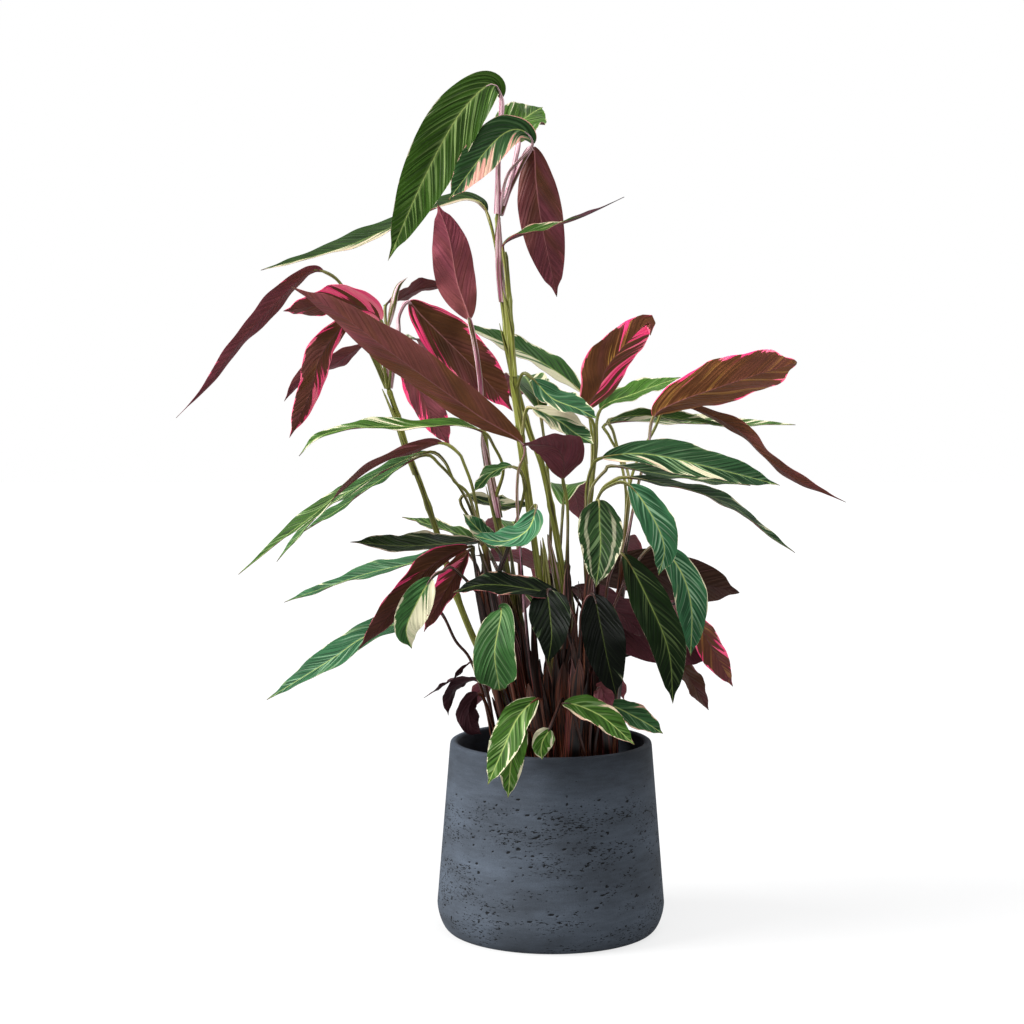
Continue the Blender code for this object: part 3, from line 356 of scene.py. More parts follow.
        Leaf("low", 17, ((-7, 1, 24), (-8.5, 0, 28.5), (-10, -0.5, 30.5), (-12, -1.5, 34)), ((-15.5, -4, 33),
            (-19.5, -6, 31.5), (-22.5, -7, 29.5), (-29, -8, 25.5)), 4, (-0.3, -0.6, 1), cream=0.14,
            stripe=0.9, cool=0.9, rim=0.02),
        Leaf("dry_upper", 17, ((-6.5, 1, 24), (-8, 1.5, 28)), ((-10.5, 2, 26), (-13.5, 2.5, 24)), 1.2,
            (-0.3, 0.2, 1), dry=1.2),
        Leaf("dry_front", 17, ((-6, 0.3, 21), (-6.9, -0.5, 24), (-7.6, -1, 25)), ((-8.6, -1.5, 23.8),
            (-8.4, -1.7, 21.8), (-7.3, -1.5, 20.8)), 2.6, (-0.4, 0.7, 0.3), dry=1.2),
        Leaf("dry_lower", 17, ((-6.2, 2, 22), (-7.5, 4, 25.5)), ((-10, 5, 25), (-11, 6, 23), (-11, 6, 21.5)),
            1.8, (-0.3, 0.5, 0.4), dry=1.2),
    )),
    Shoot("shoot_centre_dark", (0.5, 4), ((0, 3.5, 25), (0, 3.5, 30)), (
        Leaf("level", 30, ((0, 3.5, 34.5), (0.5, 4, 37)), ((-1.5, 4.3, 38.2), (-4.5, 4.3, 38.8), (-8, 5, 39)),
            3.6, (0, -0.4, 1), flip=True, light=0.5),
    )),
    Shoot("shoot_centre_pale", (-1.5, -0.5), ((-3.5, 0, 26), (-4.5, 0, 32.5), (-5.5, -1, 38)), (
        Leaf("pale", 38, ((-3.5, -4, 42.5), (-2, -6.5, 45), (-1.7, -9, 45)), ((-2.6, -11, 43),
            (-5, -12.3, 42), (-8, -13.5, 42.7)), 3.2, (-0.1, -0.6, 0.8), cream=0.02, deep=0.1, cool=1,
            stripe=0.9, light=1.05, rim=0.02),
        Leaf("shaded", 38, ((-7.5, 3, 41.5), (-9.5, 4, 44.5), (-9, 4, 45.5)), ((-5.5, 3.5, 44.5),
            (-2, 3, 44.5)), 3, (0.1, -0.45, 1), deep=0.9, light=0.6, rim=0.08),
        Leaf("small_left", 38, ((-5.2, -4, 39.5), (-5.8, -7, 41)), ((-7.6, -8.5, 43), (-9, -9, 44.5)), 2.2,
            (-0.2, -0.7, 0.7), cool=0.7),
        Leaf("small_top", 38, ((-3, -2.5, 45.5), (-3, -4, 48), (-4, -4.5, 49)), ((-6, -5, 48.5),
            (-8, -5.5, 46.5)), 2.3, (-0.2, -0.5, 1), cool=0.4),
    )),
    Shoot("shoot_centre_cup", (1.5, -5), ((1, -5, 26), (1.5, -6, 33.5), (1.5, -7, 39.5)), (
        Leaf("forward", 39, ((1.5, -8, 45), (1, -9, 48)), ((1, -11.5, 50), (0, -14, 51.5), (-3, -19, 52)),
            4.8, (-0.1, 0.55, 1), brown=0, cream=0.02, light=0.7, rim=0.02),
        Leaf("over_rim", 24, ((1, -7.5, 25.5), (-0.3, -10, 22.9)), ((-1, -11, 21.9), (-1.2, -11.5, 21),
            (-1.1, -11.7, 20.1)), 2.2, (0.1, -1, 0.2), cream=0.35, deep=0.1, rim=0.2, pink=0.2),
    )),
    Shoot("shoot_right_high", (4.5, 4.5), ((4.5, 5, 24.5), (4.5, 5, 34), (4, 5, 43)), (
        Leaf("bronze", 43, ((4.5, 3, 47), (4.5, 1, 53), (3.5, 0, 54.5)), ((4.9, -1, 57), (5.9, -2, 59.5),
            (8.6, -4, 62.7), (9.9, -4.5, 63.7), (10, -4.5, 62.4)), 5, (-0.3, 0.9, 0.5), brown=0.95, glow=0.8,
            cream=0.42, lean=-0.45, pink=1, rim=0.05, light=1.6),
        Leaf("crossing", 43, ((4.5, 6, 50.5), (4, 7, 55.3), (3.5, 7, 56.3)), ((1.2, 8, 58.3), (-3, 9.5, 60.8),
            (-10, 11, 64)), 4.3, (0.1, -0.45, 1), cream=0.45, lean=-0.9, stripe=0.5, cool=0.3),
        Leaf("bright", 43, ((5, 7.5, 50), (5.5, 9, 54.5)), ((9.5, 11, 56.3), (14.5, 13, 58)), 4.2,
            (-0.1, -0.4, 1), cream=0.12, lean=0.6, deep=0.25),
    )),
    Shoot("shoot_right_brown", (6, 0), ((6.5, 0.5, 25), (7, 1, 32.5), (7.5, 1, 39)), (
        Leaf("olive", 39, ((9, 0, 46.5), (10, -1, 50.5), (10.5, -2, 54)), ((12.5, -3, 55.5), (17, -5, 57.2),
            (21, -7, 58.6), (24.5, -8, 59.7)), 6.2, (-0.2, 0.9, 0.7), widest=0.58, brown=1, glow=0.3,
            cream=0.12, lean=-0.6, pink=1, rim=0.06, light=1.8, blush=0.2),
        Leaf("falling", 39, ((8.5, 2, 47.5), (11, 4, 52.5), (12.5, 4, 55)), ((16, 4, 54.5), (20, 4, 52.5),
            (23, 3, 49.5), (26.5, 2, 47), (31, 1, 45)), 2.7, (0.4, 0.5, 0.9), brown=0.75, cream=0.03,
            rim=0.02),
        Leaf("tucked", 39, ((8, 3.5, 46), (6.8, 5.5, 52), (6.3, 6.5, 53.5)), ((10, 8, 54), (14.5, 8.5, 53.5),
            (19.5, 9, 52.7)), 2.4, (0.1, 0.5, 1), brown=0.7, flip=True, cream=0.1, glow=0.4),
        Leaf("level", 39, ((8.5, 6, 47), (6.5, 8, 51.5), (6, 9, 52.9)), ((10, 11, 53.3), (16.5, 13, 52.9),
            (27.5, 15, 52.7)), 4.2, (0, -0.28, 1), cream=0.5, deep=0.4, stripe=0.5),
    )),
    Shoot("shoot_right_bright", (4.5, -2.5), ((5, -3, 25.5), (4, -3, 35), (3.5, -4, 43.5)), (
        Leaf("bright", 43, ((3.5, -5, 46.5), (4, -6, 49), (5, -6.5, 50)), ((9, -8, 50.5), (14.5, -10, 49.5),
            (22.5, -11, 47.5)), 4.4, (0.1, -0.75, 0.8), lean=0.7, deep=0.8, stripe=0.7, cool=0.6, light=0.9,
            pink=0.3, rim=0.02),
        Leaf("level", 43, ((4, -3.2, 46.5), (5.5, -3, 48.5), (6.5, -3, 49)), ((12.5, -3.6, 48),
            (20.5, -3, 47)), 3.8, (0.1, -0.3, 1), cream=0.25, deep=0.7, cool=0.5, light=0.8),
        Leaf("falling", 43, ((5, -5, 46.5), (6, -5.5, 47.5), (7.5, -6, 48)), ((11, -7.2, 47.5),
            (15, -8, 46.5), (18.5, -8, 45), (21.5, -8, 42.5), (24.5, -8, 40.5)), 3, (0.35, -0.35, 1),
            deep=0.7, cool=0.5, pink=0.2, light=0.8),
    )),
    Shoot("shoot_right_heart", (3.5, -5), ((3.5, -6, 26), (3.5, -7.5, 35.5), (4, -8.5, 42)), (
        Leaf("bent", 41, ((4.5, -9, 46), (6, -9.5, 47.5), (7.5, -10, 47.5)), ((9.5, -11, 45),
            (11, -11.5, 41.5), (10.5, -11, 38.5)), 3.6, (0.3, -1, 0.4), cream=0.1, deep=0.4, cool=0.9,
            stripe=1.2, light=1.2, rim=0.02),
        Leaf("heart", 41, ((4, -10, 44.5), (4.5, -11, 46)), ((4.5, -13.5, 44), (4.5, -16, 41.5),
            (4, -17.5, 38)), 4.4, (0, -1, 0.7), cream=0.03, deep=0.8, cool=0.3, stripe=0.5, ring=0.4,
            light=0.75),
    )),
    Shoot("shoot_right_veined", (5.5, -5.5), ((5, -7, 26.5), (5, -8, 33.5)), (
        Leaf("veined", 32.5, ((5.5, -8.5, 37), (6, -9, 39), (7, -9.5, 40.5)), ((9.5, -11, 36),
            (11.5, -11.5, 31), (12, -11, 25.6)), 4, (0.2, -1, 0.2), cream=0, deep=0.95, stripe=0.3, rim=0.01,
            light=0.8),
        Leaf("side", 32.5, ((7.5, -6.5, 37.5), (9.5, -6.5, 40.5), (11, -7, 41)), ((13, -8, 38.5),
            (14, -8.5, 35), (14, -8, 30)), 3.5, (0.25, -1, 0.25), cream=0.12, deep=0.4, cool=0.9, stripe=1.2,
            light=1.15, rim=0.03),
    )),
    Shoot("shoot_right_dark", (6.5, 3), ((6.5, 3.5, 24.5), (6.5, 4, 30)), (
        Leaf("dark", 30, ((5.6, 4, 33.5), (4.6, 4, 36)), ((5.2, 4.2, 36.9), (9.5, 4.2, 37.2), (14.8, 4, 36.3),
            (20.1, 3, 35.2)), 5.4, (0, -1, 0.45), widest=0.5, flip=True, brown=0.9, cream=0.02, light=0.22,
            rim=0.02),
        Leaf("edged", 30, ((9.5, 2, 33), (13.5, 0, 34.5), (14.5, -1, 34)), ((15.7, -2, 31.7),
            (17.1, -2.5, 29.2), (18.9, -2.5, 26)), 3, (-0.5, 0.9, 0.2), brown=0.7, cream=0.22, lean=0.7,
            pink=1, glow=0.4, rim=0.06, light=0.8),
        Leaf("maroon", 30, ((5.3, 1.7, 33), (4.2, 0.8, 34.3)), ((4.9, 0, 33.3), (10.8, -1, 31.1),
            (17, -1.5, 28.6)), 6, (0.1, -1, 0.3), flip=True, brown=0.1, cream=0.02, light=0.4, rim=0.02),
        Leaf("inner", 30, ((3.8, 2, 33), (2.3, 1, 36)), ((5.8, -2, 34.5), (8, -2.9, 33), (10, -3.3, 31)), 3.4,
            (0.2, -0.9, 0.6), flip=True, brown=0.2, cream=0.02, light=0.3, rim=0.02),
        Leaf("under", 28, ((10.5, 3, 29), (13, 3, 28.5)), ((14.7, 3, 26.2), (16.9, 3, 22.6)), 2.9,
            (0.4, -0.6, 0.6), flip=True, brown=0.8, cream=0.02, light=0.5),
        Leaf("rear", 30, ((7, 6, 33), (8, 8, 36)), ((11, 12, 36), (14, 16, 33), (16, 18, 28)), 4.4,
            (0.3, 0.3, 1), cream=0.25, deep=0.6),
    )),
    Shoot("shoot_front_dark", (2, -7.5), ((2.5, -8.5, 26.5), (2.5, -9, 32)), (
        Leaf("right", 30, ((3, -9.5, 35), (4, -10.5, 36.5)), ((4.7, -13, 33.5), (5.3, -14, 30.5),
            (6.2, -14, 26.8)), 4.2, (0.1, -1, 0.2), cream=0, deep=1, cool=0, stripe=0.06, rim=0, light=0.2),
        Leaf("across", 31, ((2.2, -9.3, 34), (0.8, -10, 36.3)), ((-2, -10.5, 37), (-4.8, -11, 37.5),
            (-7.5, -11, 37.5), (-10, -10.5, 36.7)), 3.4, (-0.1, -0.6, 0.9), cream=0.04, deep=1, stripe=0.15,
            rim=0.05, pink=1, light=0.6),
        Leaf("left", 30, ((0.5, -9.5, 35.5), (-0.5, -10.5, 37)), ((-0.3, -12.5, 34.5), (-0.2, -13.5, 32.5),
            (-0.6, -13.5, 29.8)), 4.2, (-0.1, -1, 0.3), widest=0.36, cream=0, deep=1, stripe=0.05, rim=0.01,
            light=0.4),
    )),
    Shoot("shoot_rim_right", (4, -7.5), (), (
        Leaf("long", 17, ((3, -9, 21), (2, -10, 24.5), (1, -10.5, 25.5)), ((2.5, -11.5, 25.5), (5, -13, 24.5),
            (8, -14, 22)), 3, (0.2, -0.9, 0.7), cream=0.06, rim=0.08, stripe=0.5, pink=0.5),
        Leaf("short", 17, ((4.5, -8, 22), (5.5, -9, 25)), ((8.5, -9.5, 23.9), (11.1, -10, 22.4)), 2.8,
            (0.1, -0.8, 0.7), cream=0.1, lean=0.9, deep=0.6, pink=0.6, rim=0.06, cool=0.6),
        Leaf("red", 17, ((3.8, -8.5, 22), (4.6, -9.5, 27)), ((5.2, -10.2, 26), (5.6, -10.8, 24.8)), 2,
            (-0.2, 0.8, 0.6), brown=0.1, cream=0.1, light=0.6),
    )),
    Shoot("shoot_rim_front", (0, -7.5), (), (
        Leaf("long", 17, ((-0.5, -8.5, 21), (-1, -9.5, 24.5), (-1.5, -10.5, 26)), ((-3.5, -12.5, 24.5),
            (-5, -14, 21.5), (-6.5, -14, 18)), 3.3, (-0.3, -1, 0.4), cream=0.12, deep=0.45, rim=0.08,
            stripe=1),
        Leaf("short", 17, ((-0.5, -9, 21), (-2.5, -11, 23)), ((-4, -12.5, 21), (-4.5, -13, 16.5)), 2.5,
            (0.1, -1, 0.2), cream=0.16, deep=0.2, rim=0.1, stripe=0.8),
    )),
    Shoot("shoot_round", (-2.5, -6.5), (), (
        Leaf("round", 17, ((-4, -8.5, 26.5), (-5.5, -9.5, 32), (-5.3, -10.6, 35)), ((-5.2, -12.6, 34.6),
            (-5.8, -14.4, 31.2), (-5.3, -14, 27.4)), 4.3, (-0.2, -1, 0.3), widest=0.7, cream=0.02, deep=0.4,
            cool=0.45, rim=0.03, light=0.85),
    )),
    Shoot("shoot_back_left", (-2.5, 5.5), (), (
        Leaf("upper", 17, ((-3, 6, 30), (-3.5, 8, 40)), ((-4, 12, 42), (-5, 17, 41), (-6, 22, 37)), 4.6,
            (0, 0.3, 1), cream=0.3, deep=0.4, stripe=0.7),
        Leaf("lower", 17, ((-2, 6.5, 26), (-1.5, 8, 33)), ((-2.5, 12, 34), (-4, 17, 32), (-5, 21, 28)), 4.4,
            (0, 0.3, 1), cream=0.15, deep=0.6, stripe=0.7),
        Leaf("rim", 17, ((-3, 6.5, 21), (-4, 9, 24.5)), ((-5, 11.5, 25), (-7, 14, 23.5), (-8.5, 16, 20.5)),
            3.2, (-0.2, 0.4, 1), cream=0.3, deep=0.2, stripe=0.8, rim=0.12),
    )),
    Shoot("shoot_back", (0.5, 6.5), ((0.5, 7, 26), (0, 7, 38)), (
        Leaf("top", 37, ((0, 7, 45), (-1, 9, 54)), ((-2, 12, 57), (-3, 17, 58), (-4, 22, 55)), 4.6,
            (0, 0.2, 1), cream=0.35, lean=0.5, stripe=0.7),
        Leaf("middle", 30, ((1, 8, 37), (1.5, 10, 44)), ((2, 14, 46), (3, 19, 45), (4, 24, 41)), 4.6,
            (0, 0.3, 1), deep=0.4, stripe=0.8),
        Leaf("lower", 22, ((0.5, 8, 27), (0, 10, 35)), ((0, 14, 37), (0, 19, 36), (-0.5, 23, 32)), 4.4,
            (0, 0.3, 1), cream=0.4, lean=-0.4, deep=0.6),
    )),
    Shoot("shoot_back_right", (3, 7), (), (
        Leaf("upper", 17, ((4, 9, 30), (5, 11, 38)), ((7, 15, 40), (9, 20, 38), (11, 23, 33)), 4.6,
            (0.2, 0.3, 1), cream=0.3, stripe=0.8, pink=0.3),
        Leaf("lower", 17, ((4, 9, 25), (5, 11, 31)), ((7, 15, 32), (9, 19, 30), (10, 22, 26)), 4.2,
            (0.2, 0.3, 1), cream=0.15, deep=0.6),
        Leaf("rim", 17, ((3.8, 8, 21), (5, 10.5, 24)), ((5.6, 13, 25), (7.4, 15, 23.8), (8.6, 16.5, 21.5)), 3,
            (0.2, 0.4, 1), cream=0.35, deep=0.2, stripe=0.7, rim=0.12),
    )),
)


def dense_curve(points):
    """Catmull-Rom curve through the points, with CURVE_STEPS samples from each point to the next."""
    points = np.asarray(points, dtype=float)
    ends = np.vstack([2 * points[0] - points[1], points, 2 * points[-1] - points[-2]])
    t = np.linspace(0, 1, CURVE_STEPS, endpoint=False)[:, None]
    spans = []
    for a, b, c, d in zip(ends, ends[1:], ends[2:], ends[3:]):
        spans.append(0.5 * (2 * b + (c - a) * t + (2 * a - 5 * b + 4 * c - d) * t**2
                            + (3 * b - a - 3 * c + d) * t**3))
    return np.vstack(spans + [points[-1:]])


def lengths_of(curve):
    """How far along the curve each of its points lies."""
    return np.concatenate([[0], np.cumsum(np.linalg.norm(np.diff(curve, axis=0), axis=1))])


def at_value(curve, keys, wanted):
    """Points on the curve where the keys, one for each of its points, reach the wanted values."""
    return np.column_stack([np.interp(wanted, keys, curve[:, axis]) for axis in range(3)])


def along(curve, shares):
    """Points on the curve at the given shares of its length."""
    travelled = lengths_of(curve)
    return at_value(curve, travelled, np.asarray(shares) * travelled[-1])


def unit(vectors):
    """Each vector divided by its length."""
    return vectors / np.linalg.norm(vectors, axis=-1, keepdims=True)


def bell(values, middle, width):
    """1 at the middle, falling as exp(-d^2) with the distance d from it in widths."""
    return np.exp(-((values - middle) / width) ** 2)


def there_and_back(row):
    """A row of values followed by the same row backwards, as for the two sides of a thin sheet."""
    return np.concatenate([row, row[..., ::-1]], axis=-1)


PAINTED = ("blade", "sectors", "green", "red", "margin", "tone")
UPPER, UNDER, STEM = 0, 1, 2


class Patch:
    """A closed tube of rings, shaped (rings, points, 3), with its finish and its painted values."""

    def __init__(self, rings, finish, **painted):
        self.rings = rings
        self.finish = finish
        self.painted = painted


def piece_from(name, patches, finishes):
    """One mesh from several closed tubes.

    Vertex (i, k) of a tube is point k of ring i. Its faces join neighbouring
    points of neighbouring rings, and a many-sided face closes each end. Each
    patch gives a finish per point, and values that the materials read.
    """
    vertices, faces, slots = [], [], []
    painted = {key: [] for key in PAINTED}
    first = 0
    for patch in patches:
        count, around = patch.rings.shape[:2]
        index = first + np.arange(count * around).reshape(count, around)
        after = np.roll(index, -1, axis=1)
        quads = np.stack([index[:-1], after[:-1], after[1:], index[1:]], axis=-1).reshape(-1, 4)
        faces += quads.tolist() + [index[0][::-1].tolist(), index[-1].tolist()]
        row = np.broadcast_to(patch.finish, (count - 1, around)).reshape(-1)
        slots += row.tolist() + [int(row[0]), int(row[-1])]
        vertices.append(patch.rings.reshape(-1, 3))
        for key in PAINTED:
            full = np.zeros((count, around, 3))
            for axis, part in enumerate(patch.painted.get(key, (0, 0, 0))):
                full[..., axis] = part
            painted[key].append(full.reshape(-1, 3))
        first += count * around
    mesh = bpy.data.meshes.new(name)
    mesh.from_pydata((np.vstack(vertices) * CM).tolist(), [], faces)
    for finish in finishes:
        mesh.materials.append(finish)
    mesh.polygons.foreach_set("material_index", slots)
    for key, rows in painted.items():
        values = mesh.attributes.new(key, "FLOAT_VECTOR", "POINT")
        values.data.foreach_set("vector", np.vstack(rows).astype(np.float32).ravel())
    mesh.shade_smooth()
    mesh.set_sharp_from_angle(angle=math.radians(SMOOTH_BELOW))
    return placed(name, mesh)


def placed(name, data):
    """A new object with this data, linked into the scene."""
    made = bpy.data.objects.new(name, data)
    bpy.context.scene.collection.objects.link(made)
    return made


def round_tube(centres, radii, sides):
    """Rings of equal angles carried along the centres, turning no more than the path does."""
    tangents = unit(np.gradient(centres, axis=0))
    side = np.array([1.0, 0.0, 0.0])
    angles = 2 * math.pi * np.arange(sides) / sides
    rings = []
    for centre, tangent, radius in zip(centres, tangents, radii):
        side = unit(side - tangent * side.dot(tangent))
        other = np.cross(tangent, side)
        rings.append(centre + radius * (np.outer(np.cos(angles), side) + np.outer(np.sin(angles), other)))
    return np.array(rings)


def stem_patch(centres, radii, sides, seed, blush, green_from):
    """A round stem, painted with how far along and round it each point lies, and its height."""
    far = lengths_of(centres)[:, None]
    round_share = np.abs(np.arange(sides) / sides - 0.5)[None, :] * 2
    return Patch(round_tube(centres, radii, sides), STEM, blade=(far, round_share, green_from),
                 sectors=(seed, 0, 0), tone=(1, blush, centres[:, 2:3]))


def foot_of(shoot, rise=FOOT_ABOVE_SOIL):
    """The point over a shoot's foot at a rise above the soil."""
    return np.array([*shoot.foot, SOIL_TOP + rise])


def cane_route(shoot):
    """The cane's middle line from the soil up, or None for a shoot whose stalks rise from the soil."""
    if not shoot.cane:
        return None
    start = foot_of(shoot)
    return dense_curve([start, start + (0, 0, CANE_START), *shoot.cane])


def cane_patch(shoot, cane, number):
    """The foot in the soil and the cane.

    The radius falls evenly from base to top, plus a bell-shaped swelling where
    each leaf leaves and at every joint, and a wider one near the soil that
    dies away over a few centimetres.
    """
    bottom = foot_of(shoot, HOLE_BOTTOM - SOIL_TOP)
    if cane is None:
        rises, shares = zip(*FOOT_STATIONS)
        centres = [foot_of(shoot) + (0, 0, rise) for rise in rises]
        radii = FOOT_RADIUS * np.array([FOOT_END, *shares])
    else:
        centres = along(cane, np.linspace(0, 1, int(lengths_of(cane)[-1] * CANE_RINGS_PER_CM)))
        height = centres[:, 2]
        radii = CANE_BASE_RADIUS + (CANE_TOP_RADIUS - CANE_BASE_RADIUS) * np.linspace(0, 1, len(centres))
        leaving = {leaf.at for leaf in shoot.leaves if leaf.at > SOIL_TOP}
        for joint in sorted(leaving | set(np.arange(JOINTS_FROM, height[-1], JOINT_EVERY))):
            radii = radii + JOINT_SWELL * bell(height, joint, JOINT_LENGTH)
        radii = radii + FOOT_SWELL * bell(height, SOIL_TOP, FOOT_SWELL_HEIGHT)
        radii[-1] *= CANE_END
        radii = [FOOT_RADIUS, *radii]
    return stem_patch(np.vstack([bottom, centres]), radii, CANE_SIDES, number, 0, shoot.green_from)


def sheath_patch(cane, low, high, facing, seed, blush, loose, green_from, clear):
    """A leaf sheath clasping a cane between two heights.

    It is a shell of constant thickness, bent round the cane's middle line. At
    share u of its height it reaches A = widest angle times (1 - u^3) to each
    side of the direction it faces. It stands `clear` of the cane, rippled by a
    sine of the angle, and is shifted that way by `loose` times u squared, so
    that its tip comes free.
    """
    u = np.linspace(0, 1, max(SHEATH_LEAST_RINGS, int((high - low) * SHEATH_RINGS_PER_CM)))[:, None]
    heights = low + (high - low) * u
    middle = at_value(cane, cane[:, 2], heights[:, 0])
    spread = np.linspace(-1, 1, SHEATH_POINTS)[None, :]
    angle = facing + (math.radians(SHEATH_ANGLE) * (1 - u**3) + SHEATH_LEAST_REACH) * spread
    share_up = np.clip((heights - SOIL_TOP) / SHEATH_TAPER_HEIGHT, 0, 1)
    body = CANE_BASE_RADIUS + (CANE_TOP_RADIUS - CANE_BASE_RADIUS) * share_up + clear
    inner = body * (1 + SHEATH_RIPPLE * np.sin(SHEATH_FLUTES * angle + seed))
    radius = np.concatenate([inner + SHEATH_THICKNESS, inner[:, ::-1]], axis=1)
    turned = there_and_back(angle)
    shift = loose * u**2
    x = middle[:, :1] + radius * np.cos(turned) + shift * math.cos(facing)
    y = middle[:, 1:2] + radius * np.sin(turned) + shift * math.sin(facing)
    rings = np.stack([x, y, np.broadcast_to(heights, x.shape)], axis=-1)
    return Patch(rings, STEM, blade=(heights, there_and_back(spread), green_from), sectors=(seed, 0, 0),
                 tone=(1, blush, heights))


def sheath_patches(shoot, number, cane):
    """Old sheaths round the foot of a cane, and one below each place where leaves leave it.

    For each old sheath the draws are its height, its blush, how loose it is
    and, in the crowd, how far it stands off.
    """
    draw = np.random.default_rng(SHEATH_SEED + number)
    top = cane[-1, 2]
    crowded = shoot.foot[0] >= CROWD_FROM
    reaches = HIGH_SHEATHS if crowded else LOW_SHEATHS
    patches = []
    for k in range(FOOT_SHEATHS):
        high = min(SOIL_TOP + draw.uniform(*reaches), top - SHEATH_BELOW_TOP)
        blush, loose = draw.uniform(*SHEATH_BLUSH), draw.uniform(*SHEATH_LOOSE)
        clear = SHEATH_CLEAR + (draw.uniform(0, CROWD_CLEAR) if crowded else 0)
        patches.append(sheath_patch(cane, SOIL_TOP - SHEATH_SUNK, high, GOLDEN_ANGLE * (3 * number + k),
                                    number + SHEATH_STEP * k, blush, loose, shoot.green_from, clear))
    for height in sorted({leaf.at for leaf in shoot.leaves if leaf.at > LEAF_SHEATHS_FROM}):
        holder = next(leaf for leaf in shoot.leaves if leaf.at == height)
        towards = np.array(holder.stalk[0]) - (shoot.cane[-1] if height > top - CANE_CROWN else (0, 0, 0))
        high = min(height + LEAF_SHEATH_PAST, top - LEAF_SHEATH_BELOW_TIP)
        blush = holder.blush * LEAF_SHEATH_BLUSH
        patches.append(sheath_patch(cane, high - LEAF_SHEATH, high, math.atan2(towards[1], towards[0]),
                                    number + LEAF_SHEATH_STEP, blush, LEAF_SHEATH_LOOSE, shoot.green_from,
                                    LEAF_SHEATH_CLEAR))
    return patches


def leaf_route(shoot, leaf, cane):
    """The curve of a leaf's stalk, from just off its cane's middle, and the curve of its midrib."""
    if cane is not None and leaf.at > SOIL_TOP:
        start = at_value(cane, cane[:, 2], [leaf.at])[0]
    else:
        start = foot_of(shoot, FOOT_ABOVE_SOIL / 2)
    flat = (np.array(leaf.stalk[0], dtype=float) - start) * (1, 1, 0)
    start = start + STALK_OFFSET * flat / max(np.linalg.norm(flat), STALK_OFFSET)
    curve = dense_curve([start, *leaf.stalk, *leaf.rib])
    base = len(leaf.stalk) * CURVE_STEPS
    return curve[:base + 1], curve[base:]


def stalk_patch(leaf, stalk, rib, seed, green_from):
    """A leaf's stalk: wide where it clasps the cane and slim along its run.

    A bell-shaped knee swells under the blade. The stalk runs on into the
    blade's midrib, where it thins to nothing.
    """
    total = lengths_of(stalk)[-1]
    run = along(stalk, np.linspace(0, 1, int(total * STALK_RINGS_PER_CM) + STALK_LEAST_RINGS))
    share = np.linspace(0, 1, len(run))
    widths = (STALK_FOOT_RADIUS, STALK_RADIUS, STALK_RADIUS, STALK_END_RADIUS)
    radii = np.interp(share, STALK_STATIONS, widths) * leaf.thick
    radii = radii + KNEE_SWELL * bell((1 - share) * total / KNEE_LENGTH, KNEE_BACK, 1)
    into = along(rib, np.linspace(0, STALK_INTO_RIB, len(STALK_FADE) + 1)[1:])
    radii = np.concatenate([radii, STALK_END_RADIUS * np.array(STALK_FADE)])
    return stem_patch(np.vstack([run, into]), radii, STALK_SIDES, seed, leaf.blush, green_from)


def half_widths(leaf, u):
    """A blade's half width at shares u of its length.

    It is u^p (1-u)^q, scaled to the leaf's width and narrowed at the tail by a
    smooth step. The powers put the widest place at the leaf's own share.
    """
    p = BASE_FULLNESS
    q = p * (1 - leaf.widest) / leaf.widest
    peak = leaf.widest**p * (1 - leaf.widest)**q
    into_tail = np.clip((u - TAIL_FROM) / TAIL_LENGTH, 0, 1)
    tail = 1 - TAIL_NARROWING * into_tail ** 2 * (3 - 2 * into_tail)
    return np.maximum(leaf.wide / 2 * u**p * (1 - u)**q / peak * tail, LEAST_HALF_WIDTH)[:, None]


